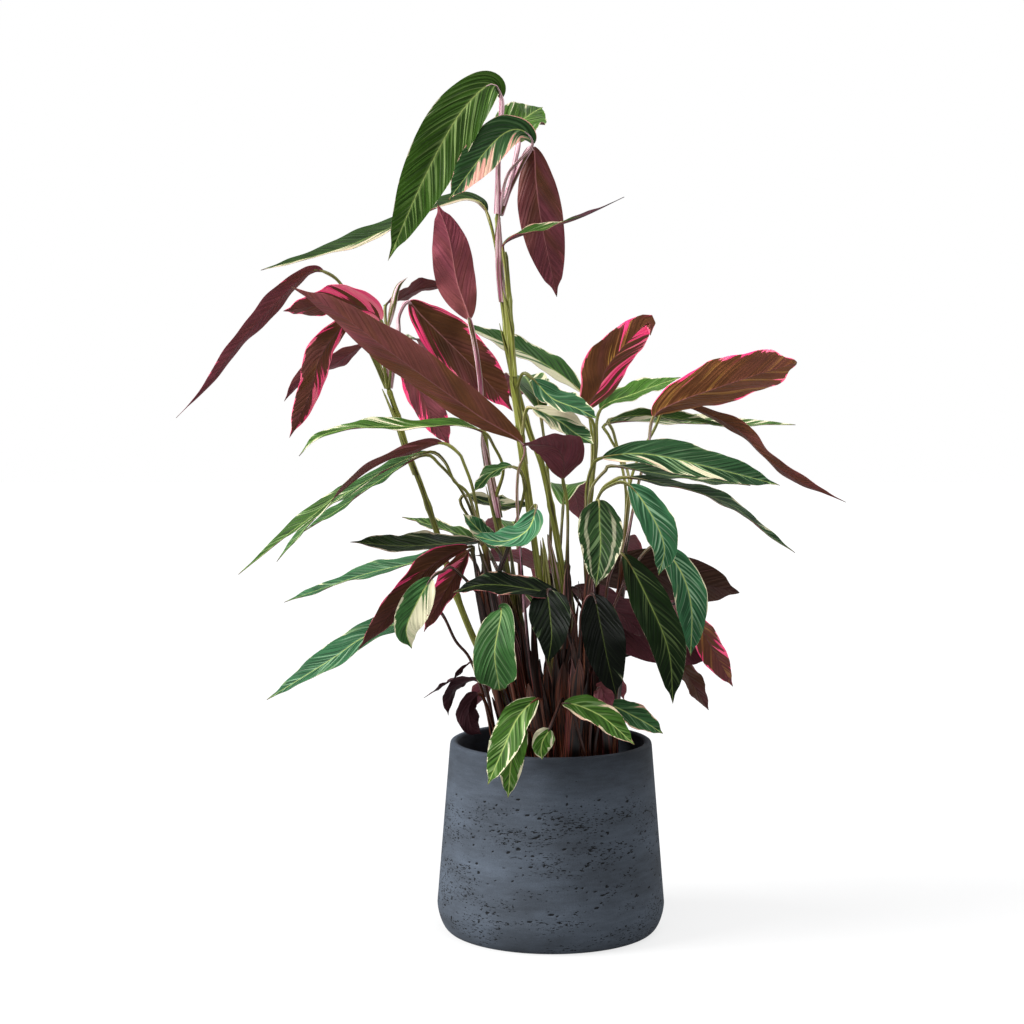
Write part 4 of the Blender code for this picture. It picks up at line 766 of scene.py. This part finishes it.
def blade_patch(leaf, rib_curve, number):
    """A blade as rings of an upper row and a lower row of points, closed round the edge.

    A point at t, from -1 to 1 across, lies t half widths to the side of the
    midrib. It is lifted by the fold, a power of |t|, and by two sine waves
    along the blade: a broad one, and a frill that grows with |t|. The lower row
    also bulges at the midrib by a bell curve. The blade twists about its
    midrib from the first angle to the second. Rings lie closer at both ends.
    """
    total = lengths_of(rib_curve)[-1]
    even = np.linspace(0, 1, max(BLADE_LEAST_RINGS, int(total * BLADE_RINGS_PER_CM)))
    u = (even + (1 - np.cos(math.pi * even)) / 2) / 2
    centres = along(rib_curve, u)
    tangents = unit(np.gradient(centres, axis=0))
    face = np.array(leaf.face, dtype=float)
    flat_normals = unit(face - tangents * (tangents @ face)[:, None])
    flat_sides = np.cross(tangents, flat_normals)
    turn = np.radians(np.interp(u, [0, TWISTED_BY], leaf.twist))[:, None]
    normals = flat_normals * np.cos(turn) + flat_sides * np.sin(turn)
    sides = flat_sides * np.cos(turn) - flat_normals * np.sin(turn)
    half = half_widths(leaf, u)
    row = np.linspace(-1, 1, BLADE_ROW)
    t = np.sign(row) * np.abs(row) ** ROW_POWER
    out = np.abs(t)
    around = 2 * math.pi * u[:, None]
    wave = WAVE_HEIGHT * np.sin(around * WAVE_COUNT + GOLDEN_ANGLE * number + t)
    frill = FRILL_SHARE * WAVE_HEIGHT * np.sin(around * FRILL_COUNT + FRILL_STEP * number + FRILL_LAG * t)
    lift = half * out**FOLD_POWER * (FOLD + (wave + frill * out) / half.max())
    x = half * t
    rib_radius = RIB_RADIUS * (1 - RIB_TAPER * u[:, None]) * min(1, leaf.wide / RIB_FULL_WIDTH)
    bulge = rib_radius * bell(x, 0, rib_radius)
    skin = BLADE_EDGE / 2 + (BLADE_THICKNESS - BLADE_EDGE) / 2 * (1 - t**2)
    upper = lift + skin - RIB_ABOVE * bulge
    lower = lift - skin - bulge
    across = there_and_back(x)
    up = np.concatenate([upper, lower[:, ::-1]], axis=1)
    rings = centres[:, None] + across[..., None] * sides[:, None] + up[..., None] * normals[:, None]
    top, bottom = (UNDER, UPPER) if leaf.flip else (UPPER, UNDER)
    finish = np.array([top] * (BLADE_ROW - 1) + [bottom] * (BLADE_ROW + 1))
    return Patch(rings, finish, blade=((u * total)[:, None], across, there_and_back(t)[None, :]),
                 sectors=(BLADE_STEP * number + BLADE_START, leaf.cream, leaf.lean),
                 green=(leaf.deep, leaf.cool, leaf.stripe), red=(leaf.pink, leaf.brown, leaf.glow),
                 margin=(leaf.rim, leaf.dry, u[:, None]), tone=(leaf.light, leaf.blush, leaf.ring))


def rolled_patch(leaf, stalk, rib, seed, green_from):
    """A young leaf, still rolled: a slim spindle on its stalk.

    Its radius follows half a sine along it and falls evenly over its tip.
    """
    run, spindle = (along(path, np.linspace(0, 1, rings)) for path, rings in zip((stalk, rib), ROLLED_RINGS))
    spindle = spindle[1:]
    share = np.linspace(0, 1, len(spindle))
    swell = STALK_END_RADIUS + (leaf.wide / 2 - STALK_END_RADIUS) * np.sin(math.pi * share**ROLLED_FULLNESS)
    swell = np.where(share > 1 - ROLLED_TIP, swell * (1 - share) / ROLLED_TIP + ROLLED_END, swell)
    radii = np.concatenate([np.linspace(STALK_FOOT_RADIUS, STALK_END_RADIUS, len(run)), swell])
    return stem_patch(np.vstack([run, spindle]), radii, CANE_SIDES, seed, leaf.blush, green_from)


def make_shoot(shoot, number, finishes):
    """One leafy shoot as one piece, in the place of its solid."""
    cane = cane_route(shoot)
    patches = [cane_patch(shoot, cane, number)]
    if cane is not None:
        patches += sheath_patches(shoot, number, cane)
    for k, high in enumerate(shoot.sheaths):
        stalk, _ = leaf_route(shoot, shoot.leaves[0], None)
        patches.append(sheath_patch(stalk, SOIL_TOP + STALK_SHEATH_RAISED, high, STALK_SHEATH_TURN * k,
                                    number + STALK_SHEATH_STEP * k, STALK_SHEATH_BLUSH, STALK_SHEATH_LOOSE,
                                    shoot.green_from, STALK_SHEATH_CLEAR))
    for k, leaf in enumerate(shoot.leaves):
        stalk, rib = leaf_route(shoot, leaf, cane)
        order = SHOOT_STEP * number + k
        if leaf.rolled:
            patches.append(rolled_patch(leaf, stalk, rib, order, shoot.green_from))
        else:
            patches += [stalk_patch(leaf, stalk, rib, order, shoot.green_from), blade_patch(leaf, rib, order)]
    piece = piece_from(shoot.name.replace("shoot_", "leafy_"), patches, finishes)
    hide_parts(shoot.name)
    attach(piece, "root")


def outer_radius(z):
    """The pot's outer radius at height z: a straight taper over a rounded foot."""
    z = np.asarray(z, dtype=float)
    taper = (z - POT_WIDEST_HEIGHT) / (POT_HEIGHT - POT_WIDEST_HEIGHT)
    straight = POT_WIDEST_RADIUS + (POT_RIM_RADIUS - POT_WIDEST_RADIUS) * taper
    share = np.clip(1 - z / POT_WIDEST_HEIGHT, 0, 1)
    drop = POT_WIDEST_RADIUS - POT_BASE_RADIUS
    rounded = POT_WIDEST_RADIUS - drop * (1 - np.sqrt(1 - share**2)) ** POT_FOOT_SHAPE
    return np.where(z >= POT_WIDEST_HEIGHT, straight, rounded)


def pit_relief(angle, z):
    """How deep the cast surface is pitted, in centimetres.

    Each pit is a flat bell over an ellipse, longer round the pot than up it,
    and lies near one of a few bands. The deepest pit at a point counts. The
    random draws are seeded.
    """
    draw = np.random.default_rng(PIT_SEED)
    bands = np.array(PIT_BANDS)
    heights = bands[draw.integers(0, len(bands), PIT_COUNT)] + draw.normal(0, PIT_BAND_SPREAD, PIT_COUNT)
    middles = draw.uniform(-math.pi, math.pi, PIT_COUNT)
    longs = draw.uniform(*PIT_LENGTH, PIT_COUNT) * draw.uniform(*PIT_SHRINK, PIT_COUNT)
    highs = longs * draw.uniform(*PIT_FLATNESS, PIT_COUNT)
    deeps = PIT_DEEPEST * draw.uniform(*PIT_DEPTH, PIT_COUNT)
    relief = np.zeros(angle.shape)
    for middle, height, long, high, deep in zip(middles, heights, longs, highs, deeps):
        away = (angle - middle + math.pi) % (2 * math.pi) - math.pi
        spread = (away * POT_WIDEST_RADIUS / long)**2 + ((z - height) / high)**2
        relief = np.maximum(relief, deep * np.exp(-spread**2))
    return relief


def turned_rings(radius, angle, height):
    """Rings of points about Z at these radii, angles and heights."""
    return np.stack([radius * np.cos(angle), radius * np.sin(angle), np.broadcast_to(height, radius.shape)],
                    axis=-1)


def make_pot(finish):
    """The pot: a profile turned about Z, its outer wall pitted, with a soft lip and a closed floor."""
    reach = POT_WALL / 2
    lip_z = POT_HEIGHT - POT_LIP_ROUND
    arc = np.radians(np.linspace(0, 180, POT_LIP_RINGS))
    lip = np.column_stack([POT_RIM_RADIUS - reach + reach * np.cos(arc), lip_z + POT_LIP_ROUND * np.sin(arc)])
    outside_z = np.concatenate([POT_WIDEST_HEIGHT * (1 - np.cos(np.linspace(0, math.pi / 2, POT_FOOT_RINGS))),
                                np.linspace(POT_WIDEST_HEIGHT, lip_z, POT_WALL_RINGS)[1:-1]])
    outside = np.column_stack([outer_radius(outside_z), outside_z])
    inside_z = np.linspace(lip_z, POT_FLOOR, POT_INNER_RINGS)[1:]
    inside = np.column_stack([outer_radius(inside_z) - POT_WALL, inside_z])
    flat = POT_BASE_RADIUS * POT_FLAT
    profile = np.vstack([[AXIS_HOLE, 0], [flat, 0], outside, lip, inside,
                         [flat, POT_FLOOR], [AXIS_HOLE, POT_FLOOR]])
    angle = 2 * math.pi * np.arange(POT_AROUND) / POT_AROUND
    height = np.broadcast_to(profile[:, 1:], (len(profile), POT_AROUND))
    wall = slice(2, 2 + len(outside))
    relief = np.zeros(height.shape)
    relief[wall] = pit_relief(np.broadcast_to(angle, relief[wall].shape), height[wall])
    rings = turned_rings(profile[:, :1] - relief, angle, height)
    pot = piece_from("pot_cast", [Patch(rings, 0, blade=(relief / PIT_DEEPEST, 0, 0))], [finish])
    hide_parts("pot")
    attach(pot, "root")


def make_soil(finish):
    """The soil: a plug whose top is a sum of broad waves and of seeded rounded crumbs.

    The waves fade out at the middle and the crumbs at the wall.
    """
    draw = np.random.default_rng(SOIL_SEED)
    angle = 2 * math.pi * np.arange(SOIL_AROUND) / SOIL_AROUND
    edge = float(outer_radius(SOIL_TOP)) - POT_WALL - SOIL_GAP
    radius = np.linspace(AXIS_HOLE, 1, SOIL_RINGS)[:, None] * edge + 0 * angle
    x, y = radius * np.cos(angle), radius * np.sin(angle)
    broad = 0.12 * np.sin(0.9 * x + 1) * np.cos(0.7 * y) + 0.06 * np.sin(2.3 * x - 1.1 * y)
    crumbs = np.abs(draw.normal(0, CRUMB_HEIGHT, x.shape)) * np.clip((edge - radius) / CRUMB_FADE, 0, 1)
    crumbs[0] = crumbs[0].mean()
    top = turned_rings(radius, angle, SOIL_TOP - SOIL_SUNK + broad * np.clip(radius / 2, 0, 1) + crumbs)
    depths = np.array([SOIL_TOP - 1, POT_WIDEST_HEIGHT, POT_FLOOR + SOIL_GAP])[:, None]
    side = turned_rings(outer_radius(depths) - POT_WALL - SOIL_GAP + 0 * angle, angle, depths)
    rings = np.concatenate([top, side])[::-1]
    soil = piece_from("potting_soil", [Patch(rings, 0)], [finish])
    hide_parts("soil")
    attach(soil, "root")


class Value:
    """What a node gives: a number, a colour, a point or a shader. Arithmetic on it adds Math nodes."""

    def __init__(self, brush, socket):
        self.brush = brush
        self.socket = socket

    def __add__(self, other):
        """The sum with a number or another value."""
        return self.brush.maths("ADD", self, other)

    def __sub__(self, other):
        """This value less another."""
        return self.brush.maths("SUBTRACT", self, other)

    def __rsub__(self, other):
        """A number less this value."""
        return self.brush.maths("SUBTRACT", other, self)

    def __mul__(self, other):
        """The product with a number or another value."""
        return self.brush.maths("MULTIPLY", self, other)

    def __abs__(self):
        """The value without its sign."""
        return self.brush.maths("ABSOLUTE", self)

    __radd__, __rmul__ = __add__, __mul__


class Brush:
    """Short names for the nodes of a new material or world, so that a pattern reads like its formula."""

    def __init__(self, name, kind="materials", shader="Principled BSDF"):
        self.made = getattr(bpy.data, kind).new(name)
        self.made.use_nodes = True
        self.tree = self.made.node_tree
        self.shader = self.tree.nodes[shader]

    def node(self, kind, inputs, output=0, **settings):
        """A new node's output, once its settings are set and its inputs fed, by name or by number."""
        added = self.tree.nodes.new("ShaderNode" + kind)
        for name, value in settings.items():
            setattr(added, name, value)
        for key, value in inputs.items():
            self.feed(added.inputs[key], value)
        return Value(self, added.outputs[output])

    def feed(self, socket, value):
        """Link a socket to another node's value, or set it to a plain number or colour."""
        if isinstance(value, Value):
            self.tree.links.new(value.socket, socket)
        else:
            socket.default_value = value

    def maths(self, operation, *values):
        """One sum, product or other operation of the Math node."""
        return self.node("Math", dict(enumerate(values)), operation=operation)

    def step(self, value, low, high):
        """0 below low, 1 above high, and a smooth rise between."""
        return self.node("MapRange", {"Value": value, "From Min": low, "From Max": high},
                         interpolation_type="SMOOTHSTEP")

    def mix(self, share, a, b):
        """Colour a, going over to colour b as the share goes from 0 to 1."""
        return self.node("Mix", {0: share, 6: a, 7: b}, output=2, data_type="RGBA")

    def shade(self, colour, factor):
        """The colour made darker or lighter by a factor."""
        return self.node("VectorMath", {0: colour, "Scale": factor}, operation="SCALE")

    def parts(self, vector):
        """The three values of a vector."""
        split = self.node("SeparateXYZ", {0: vector}).socket.node
        return [Value(self, socket) for socket in split.outputs]

    def painted(self, name):
        """The three values that a piece's mesh carries under a name."""
        return self.parts(self.node("Attribute", {}, output="Vector", attribute_name=name))

    def grain(self, where, detail=2, rough=0.5, scale=1):
        """Noise from 0 to 1 at a point, which is given as a vector or as three values."""
        if isinstance(where, tuple):
            where = self.node("CombineXYZ", dict(enumerate(where)))
        return self.node("TexNoise", {"Vector": where, "Scale": scale, "Detail": detail, "Roughness": rough})

    def stretched(self, *stretch):
        """The object's own coordinates, times a stretch along each axis."""
        here = self.node("TexCoord", {}, output="Object")
        return self.node("Mapping", {"Vector": here, "Scale": stretch})

    def bump(self, height, strength, distance):
        """Tilt the shading by a height."""
        tilt = self.node("Bump", {"Strength": strength, "Distance": distance, "Height": height})
        self.feed(self.shader.inputs["Normal"], tilt)

    def finish(self, colour, roughness, shine):
        """Hand the colour, the roughness and one level of shine to the shader."""
        for name, value in (("Base Color", colour), ("Roughness", roughness), ("Specular IOR Level", shine)):
            self.feed(self.shader.inputs[name], value)
        return self.made


def tint(red, green, blue):
    """A screen colour, 0 to 255 a channel, as the linear colour that a shader takes."""
    parts = np.array([red, green, blue]) / 255
    linear = np.where(parts <= 0.04045, parts / 12.92, ((parts + 0.055) / 1.055) ** 2.4)
    return (*(float(v) for v in linear), 1.0)


# Leaf pattern: spacings in centimetres, levels of noise, and shares of a blade's half width or length
VEIN_SLOPE = 1.8
VEIN_CURVE = 0.16
FEATHER_SPACING = 0.95
FEATHER_SWAY = 12
BAND_SPACING = 1.15
BAND_SWAY = 22
VEIN_SPACING = 0.24
VEIN_SWAY = 5
PALE_FROM = 0.655
PALE_GAIN = 0.27
PALE_EDGE = 0.012
HALO = (0.035, 0.02)
MARGIN_GAIN = 2.6
MARGIN_EDGE = 0.025
RING_AT = 0.62
RIB_WIDTH = 0.075
RIB_NARROWING = 0.05

# Stems, in centimetres: the heights between which a blushing sheath goes over from reddish to pink
SHEATH_PINK = (26, 40)


def leaf_pattern(b):
    """What both sides of a blade share, worked out from the blade's painted values.

    A side vein leaves the midrib slanting forward and bends towards the tip,
    so the points of one vein have the same `vein`: how far along the blade it
    leaves the midrib. The distance across, times a slope, plus its square,
    times a curve, is taken from the distance along. `pale` sectors are noise
    stretched along the veins, above a level that falls as the leaf gets more
    cream, and `halo` reaches a little past them. The pale margin and the ring
    join them. A `feather`, a dark band and a fine vein are sines of `vein`,
    thrown out of step by noise. Feathers narrow towards the edge, bands fade
    there, and `favour` makes feathers stronger on the side that the cream
    leans to. `rib` is the midrib, `spine` a strip along it, `tip` the blade's
    end, and `dry` spreads from there.
    """
    far, across, t = b.painted("blade")
    seed, cream, lean = b.painted("sectors")
    rim, dry, share = b.painted("margin")
    ring = b.painted("tone")[2]
    reach, edge, side = abs(across), abs(t), b.maths("SIGN", across)
    vein = far - (reach * VEIN_SLOPE + reach * reach * VEIN_CURVE)
    own = seed * 17.3 + side * 5.1
    wander = b.grain((vein * 0.9, own, reach * 0.2))

    def ripple(spacing, sway):
        """A sine of `vein` with this spacing, thrown out of step by so many radians of noise."""
        return b.maths("SINE", vein * (2 * math.pi / spacing) + wander * sway)

    broad = b.grain((vein * 0.3, own, reach * 0.12), 1)
    streaks = b.grain((vein * 0.8, reach * 0.1, own), 3, 0.62)
    uneven = b.grain((vein * 0.55, own, 3), 3, 0.6)
    slow = broad * 0.5 + streaks * 0.5 + (edge - 0.55) * 0.09
    level = PALE_FROM - cream * (1 + lean * side) * PALE_GAIN
    sectors = b.step(slow, level, level + PALE_EDGE)
    rim_at = 1 - rim * (b.step(uneven, 0.4, 0.66) * MARGIN_GAIN)
    margin = b.step(edge, rim_at, rim_at + MARGIN_EDGE)
    off_ring = abs(edge + (uneven - 0.5) * 0.3 - RING_AT)
    loop = ring * (1 - b.step(off_ring, 0.05, 0.1)) * b.step(share, 0.12, 0.3)
    ridge = ripple(FEATHER_SPACING, FEATHER_SWAY)
    crest = 0.1 + edge * 0.7
    rib_width = RIB_WIDTH - share * RIB_NARROWING
    return SimpleNamespace(
        far=far, reach=reach, own=own, share=share, wander=wander, broad=broad, streaks=streaks, ridge=ridge,
        pale=b.maths("MAXIMUM", b.maths("MAXIMUM", sectors, margin), loop),
        halo=b.step(slow, level - HALO[0], level - HALO[1]),
        feather=b.step(ridge, crest, crest + 0.5) * b.step(streaks, 0.44, 0.54),
        favour=1 + lean * side * 0.8,
        bands=b.step(ripple(BAND_SPACING, BAND_SWAY), -0.6, 0.9) * (1 - b.step(edge, 0.55, 0.95)),
        fine=0.5 + ripple(VEIN_SPACING, VEIN_SWAY) * 0.5,
        rib=1 - b.step(reach, rib_width * 0.6, rib_width + 0.02),
        spine=1 - b.step(edge, 0.02, 0.14),
        tip=b.step(share, 0.965, 0.995),
        dry=b.step(share + (dry + (edge - 0.6) * 0.12), 1, 1.08))


def withered_over(b, p, colour):
    """The colour, going over to shrivelled purple brown as the leaf is dry, and brown at its very tip."""
    colour = b.mix(p.tip * 0.7, colour, tint(84, 62, 40))
    return b.mix(p.dry, colour, b.mix(p.wander, tint(38, 18, 26), tint(92, 54, 60)))


def upper_finish():
    """The upper side: dark green with paler feathers, cream sectors and margins, and a pale midrib.

    Every mix is a pale or dark layer over the last, as strong as the leaf's
    own values and the pattern say. Slow noise and the dark bands shade it.
    """
    b = Brush("leaf_upper")
    p = leaf_pattern(b)
    deep, cool, stripe = b.painted("green")
    pink = b.painted("red")[0]
    light = b.painted("tone")[0]
    soft = b.grain((p.far * 0.35, p.own, p.reach * 0.5), 3, 0.6)
    leafy = b.mix(deep, tint(84, 130, 36), tint(14, 28, 7))
    leafy = b.mix(cool * 0.8, leafy, b.mix(deep, tint(66, 130, 98), tint(10, 48, 30)))
    leafy = b.shade(leafy, 0.55 + soft * 0.9)
    leafy = b.shade(leafy, 1 - p.bands * 0.5)
    vivid = b.mix(cool, tint(150, 176, 104), tint(148, 186, 152))
    shine = stripe * p.favour * (0.35 + b.step(p.broad, 0.35, 0.62) * 0.65)
    leafy = b.mix(p.feather * (shine * 0.85), leafy, vivid)
    leafy = b.mix(p.spine * (stripe * 0.3), leafy, vivid)
    leafy = b.mix(p.halo * 0.5, leafy, tint(122, 150, 100))
    leafy = b.shade(leafy, 0.93 + p.fine * 0.12)
    blush = b.step(pink + (p.wander - 0.5) * 0.9, 0.25, 0.8)
    cream = b.mix(blush, tint(226, 220, 184), tint(222, 158, 142))
    cream = b.mix(b.step(p.streaks, 0.5, 0.4) * 0.35, cream, tint(170, 188, 140))
    leafy = b.mix(p.pale, leafy, cream)
    leafy = b.mix(p.rib * 0.95, leafy, b.mix(deep, tint(190, 210, 120), tint(116, 134, 66)))
    leafy = withered_over(b, p, leafy)
    b.bump(p.ridge + p.fine * 0.3, 0.4, 0.0007)
    # `light` scales the colour: partly the leaf's own tone, partly painted shade on leaves deep in the plant
    # and painted glow on leaves lit through.
    return b.finish(b.shade(leafy, light), 0.36 + soft * 0.25, 0.1)


def under_finish():
    """The underside: burgundy to olive brown, hot pink where the upper side is cream, with a fine midrib.

    Brown spreads from the base in slow patches. Leaves with `glow` carry orange
    streaks, a painted glow of light shining through the leaf, and leaves that
    aren't pink carry a dull rose instead of hot pink. Hot pink is lifted past its
    full strength, a painted glow as well.
    """
    b = Brush("leaf_under")
    p = leaf_pattern(b)
    pink, brown, glow = b.painted("red")
    light, blush, _ = b.painted("tone")
    patchy = brown + ((p.broad - 0.5) * 1.2 + (0.5 - p.share) * 0.5)
    soft = b.grain((p.far * 0.3, p.own, p.reach * 0.4), 3, 0.6)
    red = b.mix(b.step(patchy, 0, 1), tint(134, 66, 78), tint(104, 62, 36))
    red = b.shade(red, 0.5 + soft)
    red = b.shade(red, 1.06 - p.bands * 0.2)
    red = b.shade(red, 0.95 + p.fine * 0.1)
    orange = b.mix(p.wander, tint(186, 104, 44), tint(206, 170, 84))
    # Painted glow: orange streaks stand in for light shining through the leaf.
    red = b.mix(glow * b.step(p.streaks, 0.545, 0.585), red, orange)
    hot = b.mix(b.step(p.wander, 0.4, 0.7), tint(255, 66, 126), tint(255, 134, 156))
    dull = b.mix(p.wander, tint(122, 62, 66), tint(160, 98, 92))
    red = b.mix(p.halo * (pink * 0.4), red, tint(140, 40, 66))
    # Painted glow: the pink is lifted past full strength, as if lit through the leaf.
    red = b.mix(p.pale, red, b.shade(b.mix(pink, dull, hot), 1 + pink * 0.45))
    rib = b.mix(blush * (1.25 - p.share), tint(84, 36, 36), tint(226, 148, 150))
    red = b.mix(p.rib * 0.75, red, rib)
    red = withered_over(b, p, red)
    b.bump(p.ridge + p.fine * 0.3, 0.4, 0.0006)
    # `light` scales the colour: partly the leaf's own tone, partly painted shade on leaves deep in the plant
    # and painted glow on undersides lit through the leaf.
    return b.finish(b.shade(red, light), 0.42 + soft * 0.2, 0.2)


def stem_finish():
    """Stems: burgundy brown near the soil and olive green above, streaked along their length.

    The two meet at a ragged height, `green_from`. Each stem is a little darker
    or lighter than the next. Where it blushes, a lined sheath lies over it in
    streaks, which goes over from reddish to pink between two heights. The
    palest streaks of the brown and of the olive are painted highlights.
    """
    b = Brush("stems")
    far, around, green_from = b.painted("blade")
    seed = b.painted("sectors")[0]
    _, blush, height = b.painted("tone")
    streaks = b.grain((far * 0.1, around * 3.4, seed * 3.3), 3, 0.6, 1.7)
    blotches = b.grain((far * 0.35, around, seed * 7.7))
    lines = b.grain((far * 0.05, around * 3.2, seed * 1.9 + 40), 2, 0.5, 1.3)
    each = b.grain((seed * 5.3, 0.5, 0.5), 0)
    brown = b.mix(b.step(streaks, 0.38, 0.66), tint(17, 7, 6), tint(128, 66, 36))
    # Painted highlight: the palest brown streaks.
    brown = b.mix(b.step(streaks, 0.6, 0.72), brown, tint(186, 122, 88))
    brown = b.shade(brown, 0.15 + b.step(each, 0.3, 0.7) * 0.7)
    olive = b.mix(b.step(streaks, 0.34, 0.54), tint(62, 54, 18), tint(138, 142, 58))
    # Painted highlight: the palest olive streaks.
    olive = b.mix(b.step(streaks, 0.56, 0.7), olive, tint(216, 220, 150))
    olive = b.shade(olive, 0.5 + each)
    rise = b.step(height + (blotches - 0.5) * 12, green_from - 5, green_from + 5)
    colour = b.mix(rise, brown, olive)
    pinkish = b.mix(b.step(lines, 0.5, 0.56), tint(250, 208, 216), tint(176, 88, 126))
    reddish = b.mix(b.step(lines, 0.46, 0.54), tint(124, 62, 52), tint(82, 30, 34))
    upper = b.step(height, *SHEATH_PINK)
    gaps = b.mix(upper, tint(28, 12, 10), tint(88, 68, 30))
    sheath = b.mix(b.step(lines, 0.6, 0.64), b.mix(upper, reddish, pinkish), gaps)
    level = 0.6 - blush * 0.32
    colour = b.mix(b.step(blush, 0.02, 0.2) * b.step(streaks, level, level + 0.05), colour, sheath)
    b.bump(streaks, 0.4, 0.001)
    return b.finish(colour, 0.3 + streaks * 0.2, 0.45)


def pot_finish():
    """The pot: matt blue-grey cast concrete, cloudy and streaked round it, with small dark pits in bands.

    Pits are the modelled ones, and noise above a level that falls in the bands
    and low on the wall. The pits are coloured near black, a painted shade inside
    them. The wall is darker at its upper right, a painted shadow of the foliage
    above it.
    """
    b = Brush("cast_concrete")
    relief = b.painted("blade")[0]
    cloud = b.grain(b.stretched(9, 9, 22), 4, 0.6)
    lines = b.grain(b.stretched(40, 40, 260), 3, 0.6)
    sand = b.grain(b.stretched(900, 900, 1400))
    holes = b.grain(b.stretched(230, 230, 700), 3, 0.6)
    bands = b.grain(b.stretched(16, 16, 50), 2, 0.6)
    x, _, z = b.parts(b.stretched(1, 1, 1))
    grey = b.mix(b.step(cloud, 0.2, 0.8), tint(56, 61, 68), tint(84, 93, 105))
    grey = b.shade(grey, 0.7 + lines * 0.6)
    grey = b.shade(grey, 0.66 + sand * 0.68)
    low = 1 - b.step(z, 0.135, 0.18)
    level = 0.71 - b.step(bands, 0.36, 0.6) * (low * 0.14)
    pits = b.maths("MAXIMUM", b.step(holes, level, level + 0.025), b.step(relief, 0.2, 0.45))
    # Painted shadow of the foliage: the upper right of the wall is darkened.
    foliage_shadow = b.step(z, 0.15, 0.22) * b.step(x, -0.11, 0)
    grey = b.shade(grey, 1 - foliage_shadow * 0.5)
    # Painted shade inside the pits: they are coloured near black, over their small modelled relief.
    grey = b.mix(pits * 0.95, grey, tint(7, 8, 10))
    b.bump(lines * 0.25 + sand * 0.2 - pits, 0.5, 0.0012)
    return b.finish(grey, 0.72 + sand * 0.2, 0.25)


def soil_finish():
    """Damp potting soil: dark brown crumbs with a few paler fibres."""
    b = Brush("damp_soil")
    crumbs = b.grain(b.stretched(160, 160, 160), 5, 0.7)
    lumps = b.grain(b.stretched(45, 45, 45), 3, 0.6)
    brown = b.mix(crumbs, tint(12, 9, 8), tint(62, 44, 34))
    brown = b.shade(brown, 0.5 + lumps)
    brown = b.mix(b.step(crumbs, 0.68, 0.74), brown, tint(104, 82, 62))
    b.bump(crumbs + lumps, 0.9, 0.004)
    return b.finish(brown, 0.9, 0.2)


FLOOR_SIZE = 8.0
FLOOR_COLOUR = (0.2, 0.2, 0.2, 1.0)
FLOOR_GLOW = 0.74
FLOOR_BOUNCE = 0.22
WHITE = (1.0, 1.0, 1.0, 1.0)


def make_floor():
    """A plain pale floor.

    The lens sees it glow faintly, so that it goes over into the white room,
    and a part of that glow lights the plant from below.
    """
    mesh = bpy.data.meshes.new("floor")
    corners = [(x * FLOOR_SIZE, y * FLOOR_SIZE, 0) for x, y in ((-1, -1), (1, -1), (1, 1), (-1, 1))]
    mesh.from_pydata(corners, [], [(0, 1, 2, 3)])
    b = Brush("pale_floor")
    seen = b.node("LightPath", {}, output="Is Camera Ray")
    b.feed(b.shader.inputs["Emission Color"], WHITE)
    b.feed(b.shader.inputs["Emission Strength"], FLOOR_BOUNCE + seen * (FLOOR_GLOW - FLOOR_BOUNCE))
    mesh.materials.append(b.finish(FLOOR_COLOUR, 0.9, 0.05))
    floor = placed("floor", mesh)


CAMERA_PLACE = (-0.041, -2.20, 0.60)
CAMERA_PITCH = 85.85
CAMERA_LENS = 74.1
SENSOR = 36.0


def make_camera():
    """The camera where the photograph was taken from: low, slightly above the pot, looking a little down."""
    data = bpy.data.cameras.new("camera")
    data.sensor_width = SENSOR
    data.lens = CAMERA_LENS
    camera = placed("camera", data)
    camera.location = CAMERA_PLACE
    camera.rotation_euler = (math.radians(CAMERA_PITCH), 0, 0)
    bpy.context.scene.camera = camera


LIGHTS = (
    ("key", (-2.0, -0.5, 1.4), 4.6, 35),
    ("top", (0.3, -0.9, 2.1), 1.1, 45),
    ("back", (1.2, 1.6, 1.2), 0.8, 60),
)
GLOW_OVERHEAD = 0.7
GLOW_LEVEL = 0.16
GLOW_COLOUR = (0.96, 0.98, 1.0, 1.0)
BACKGROUND = 1.0


def make_lights():
    """Broad lamps far away, each a name, the direction it shines from, its power and its width in degrees."""
    for name, place, power, width in LIGHTS:
        data = bpy.data.lights.new(name, "SUN")
        data.energy = power
        data.angle = math.radians(width)
        lamp = placed(name, data)
        lamp.location = place
        lamp.rotation_euler = (-Vector(place)).to_track_quat("-Z", "Y").to_euler()


def make_room():
    """A white room: pale light from all round, brighter from overhead, and plain white to the lens."""
    b = Brush("white_room", "worlds", "Background")
    rise = b.parts(b.node("TexCoord", {}, output="Object"))[2]
    glow = b.node("MapRange", {"Value": rise, "To Min": GLOW_LEVEL, "To Max": GLOW_OVERHEAD})
    b.feed(b.shader.inputs["Color"], GLOW_COLOUR)
    b.feed(b.shader.inputs["Strength"], glow)
    white = b.node("Background", {"Color": WHITE, "Strength": BACKGROUND})
    seen = b.node("LightPath", {}, output="Is Camera Ray")
    chosen = b.node("MixShader", {0: seen, 1: Value(b, b.shader.outputs[0]), 2: white})
    b.feed(b.tree.nodes["World Output"].inputs["Surface"], chosen)
    bpy.context.scene.world = b.made
    bpy.context.scene.view_settings.view_transform = "Standard"


make_camera()
make_lights()
make_room()
make_floor()
make_pot(pot_finish())
make_soil(soil_finish())
leaf_finishes = [upper_finish(), under_finish(), stem_finish()]
for number, shoot in enumerate(SHOOTS):
    make_shoot(shoot, number, leaf_finishes)
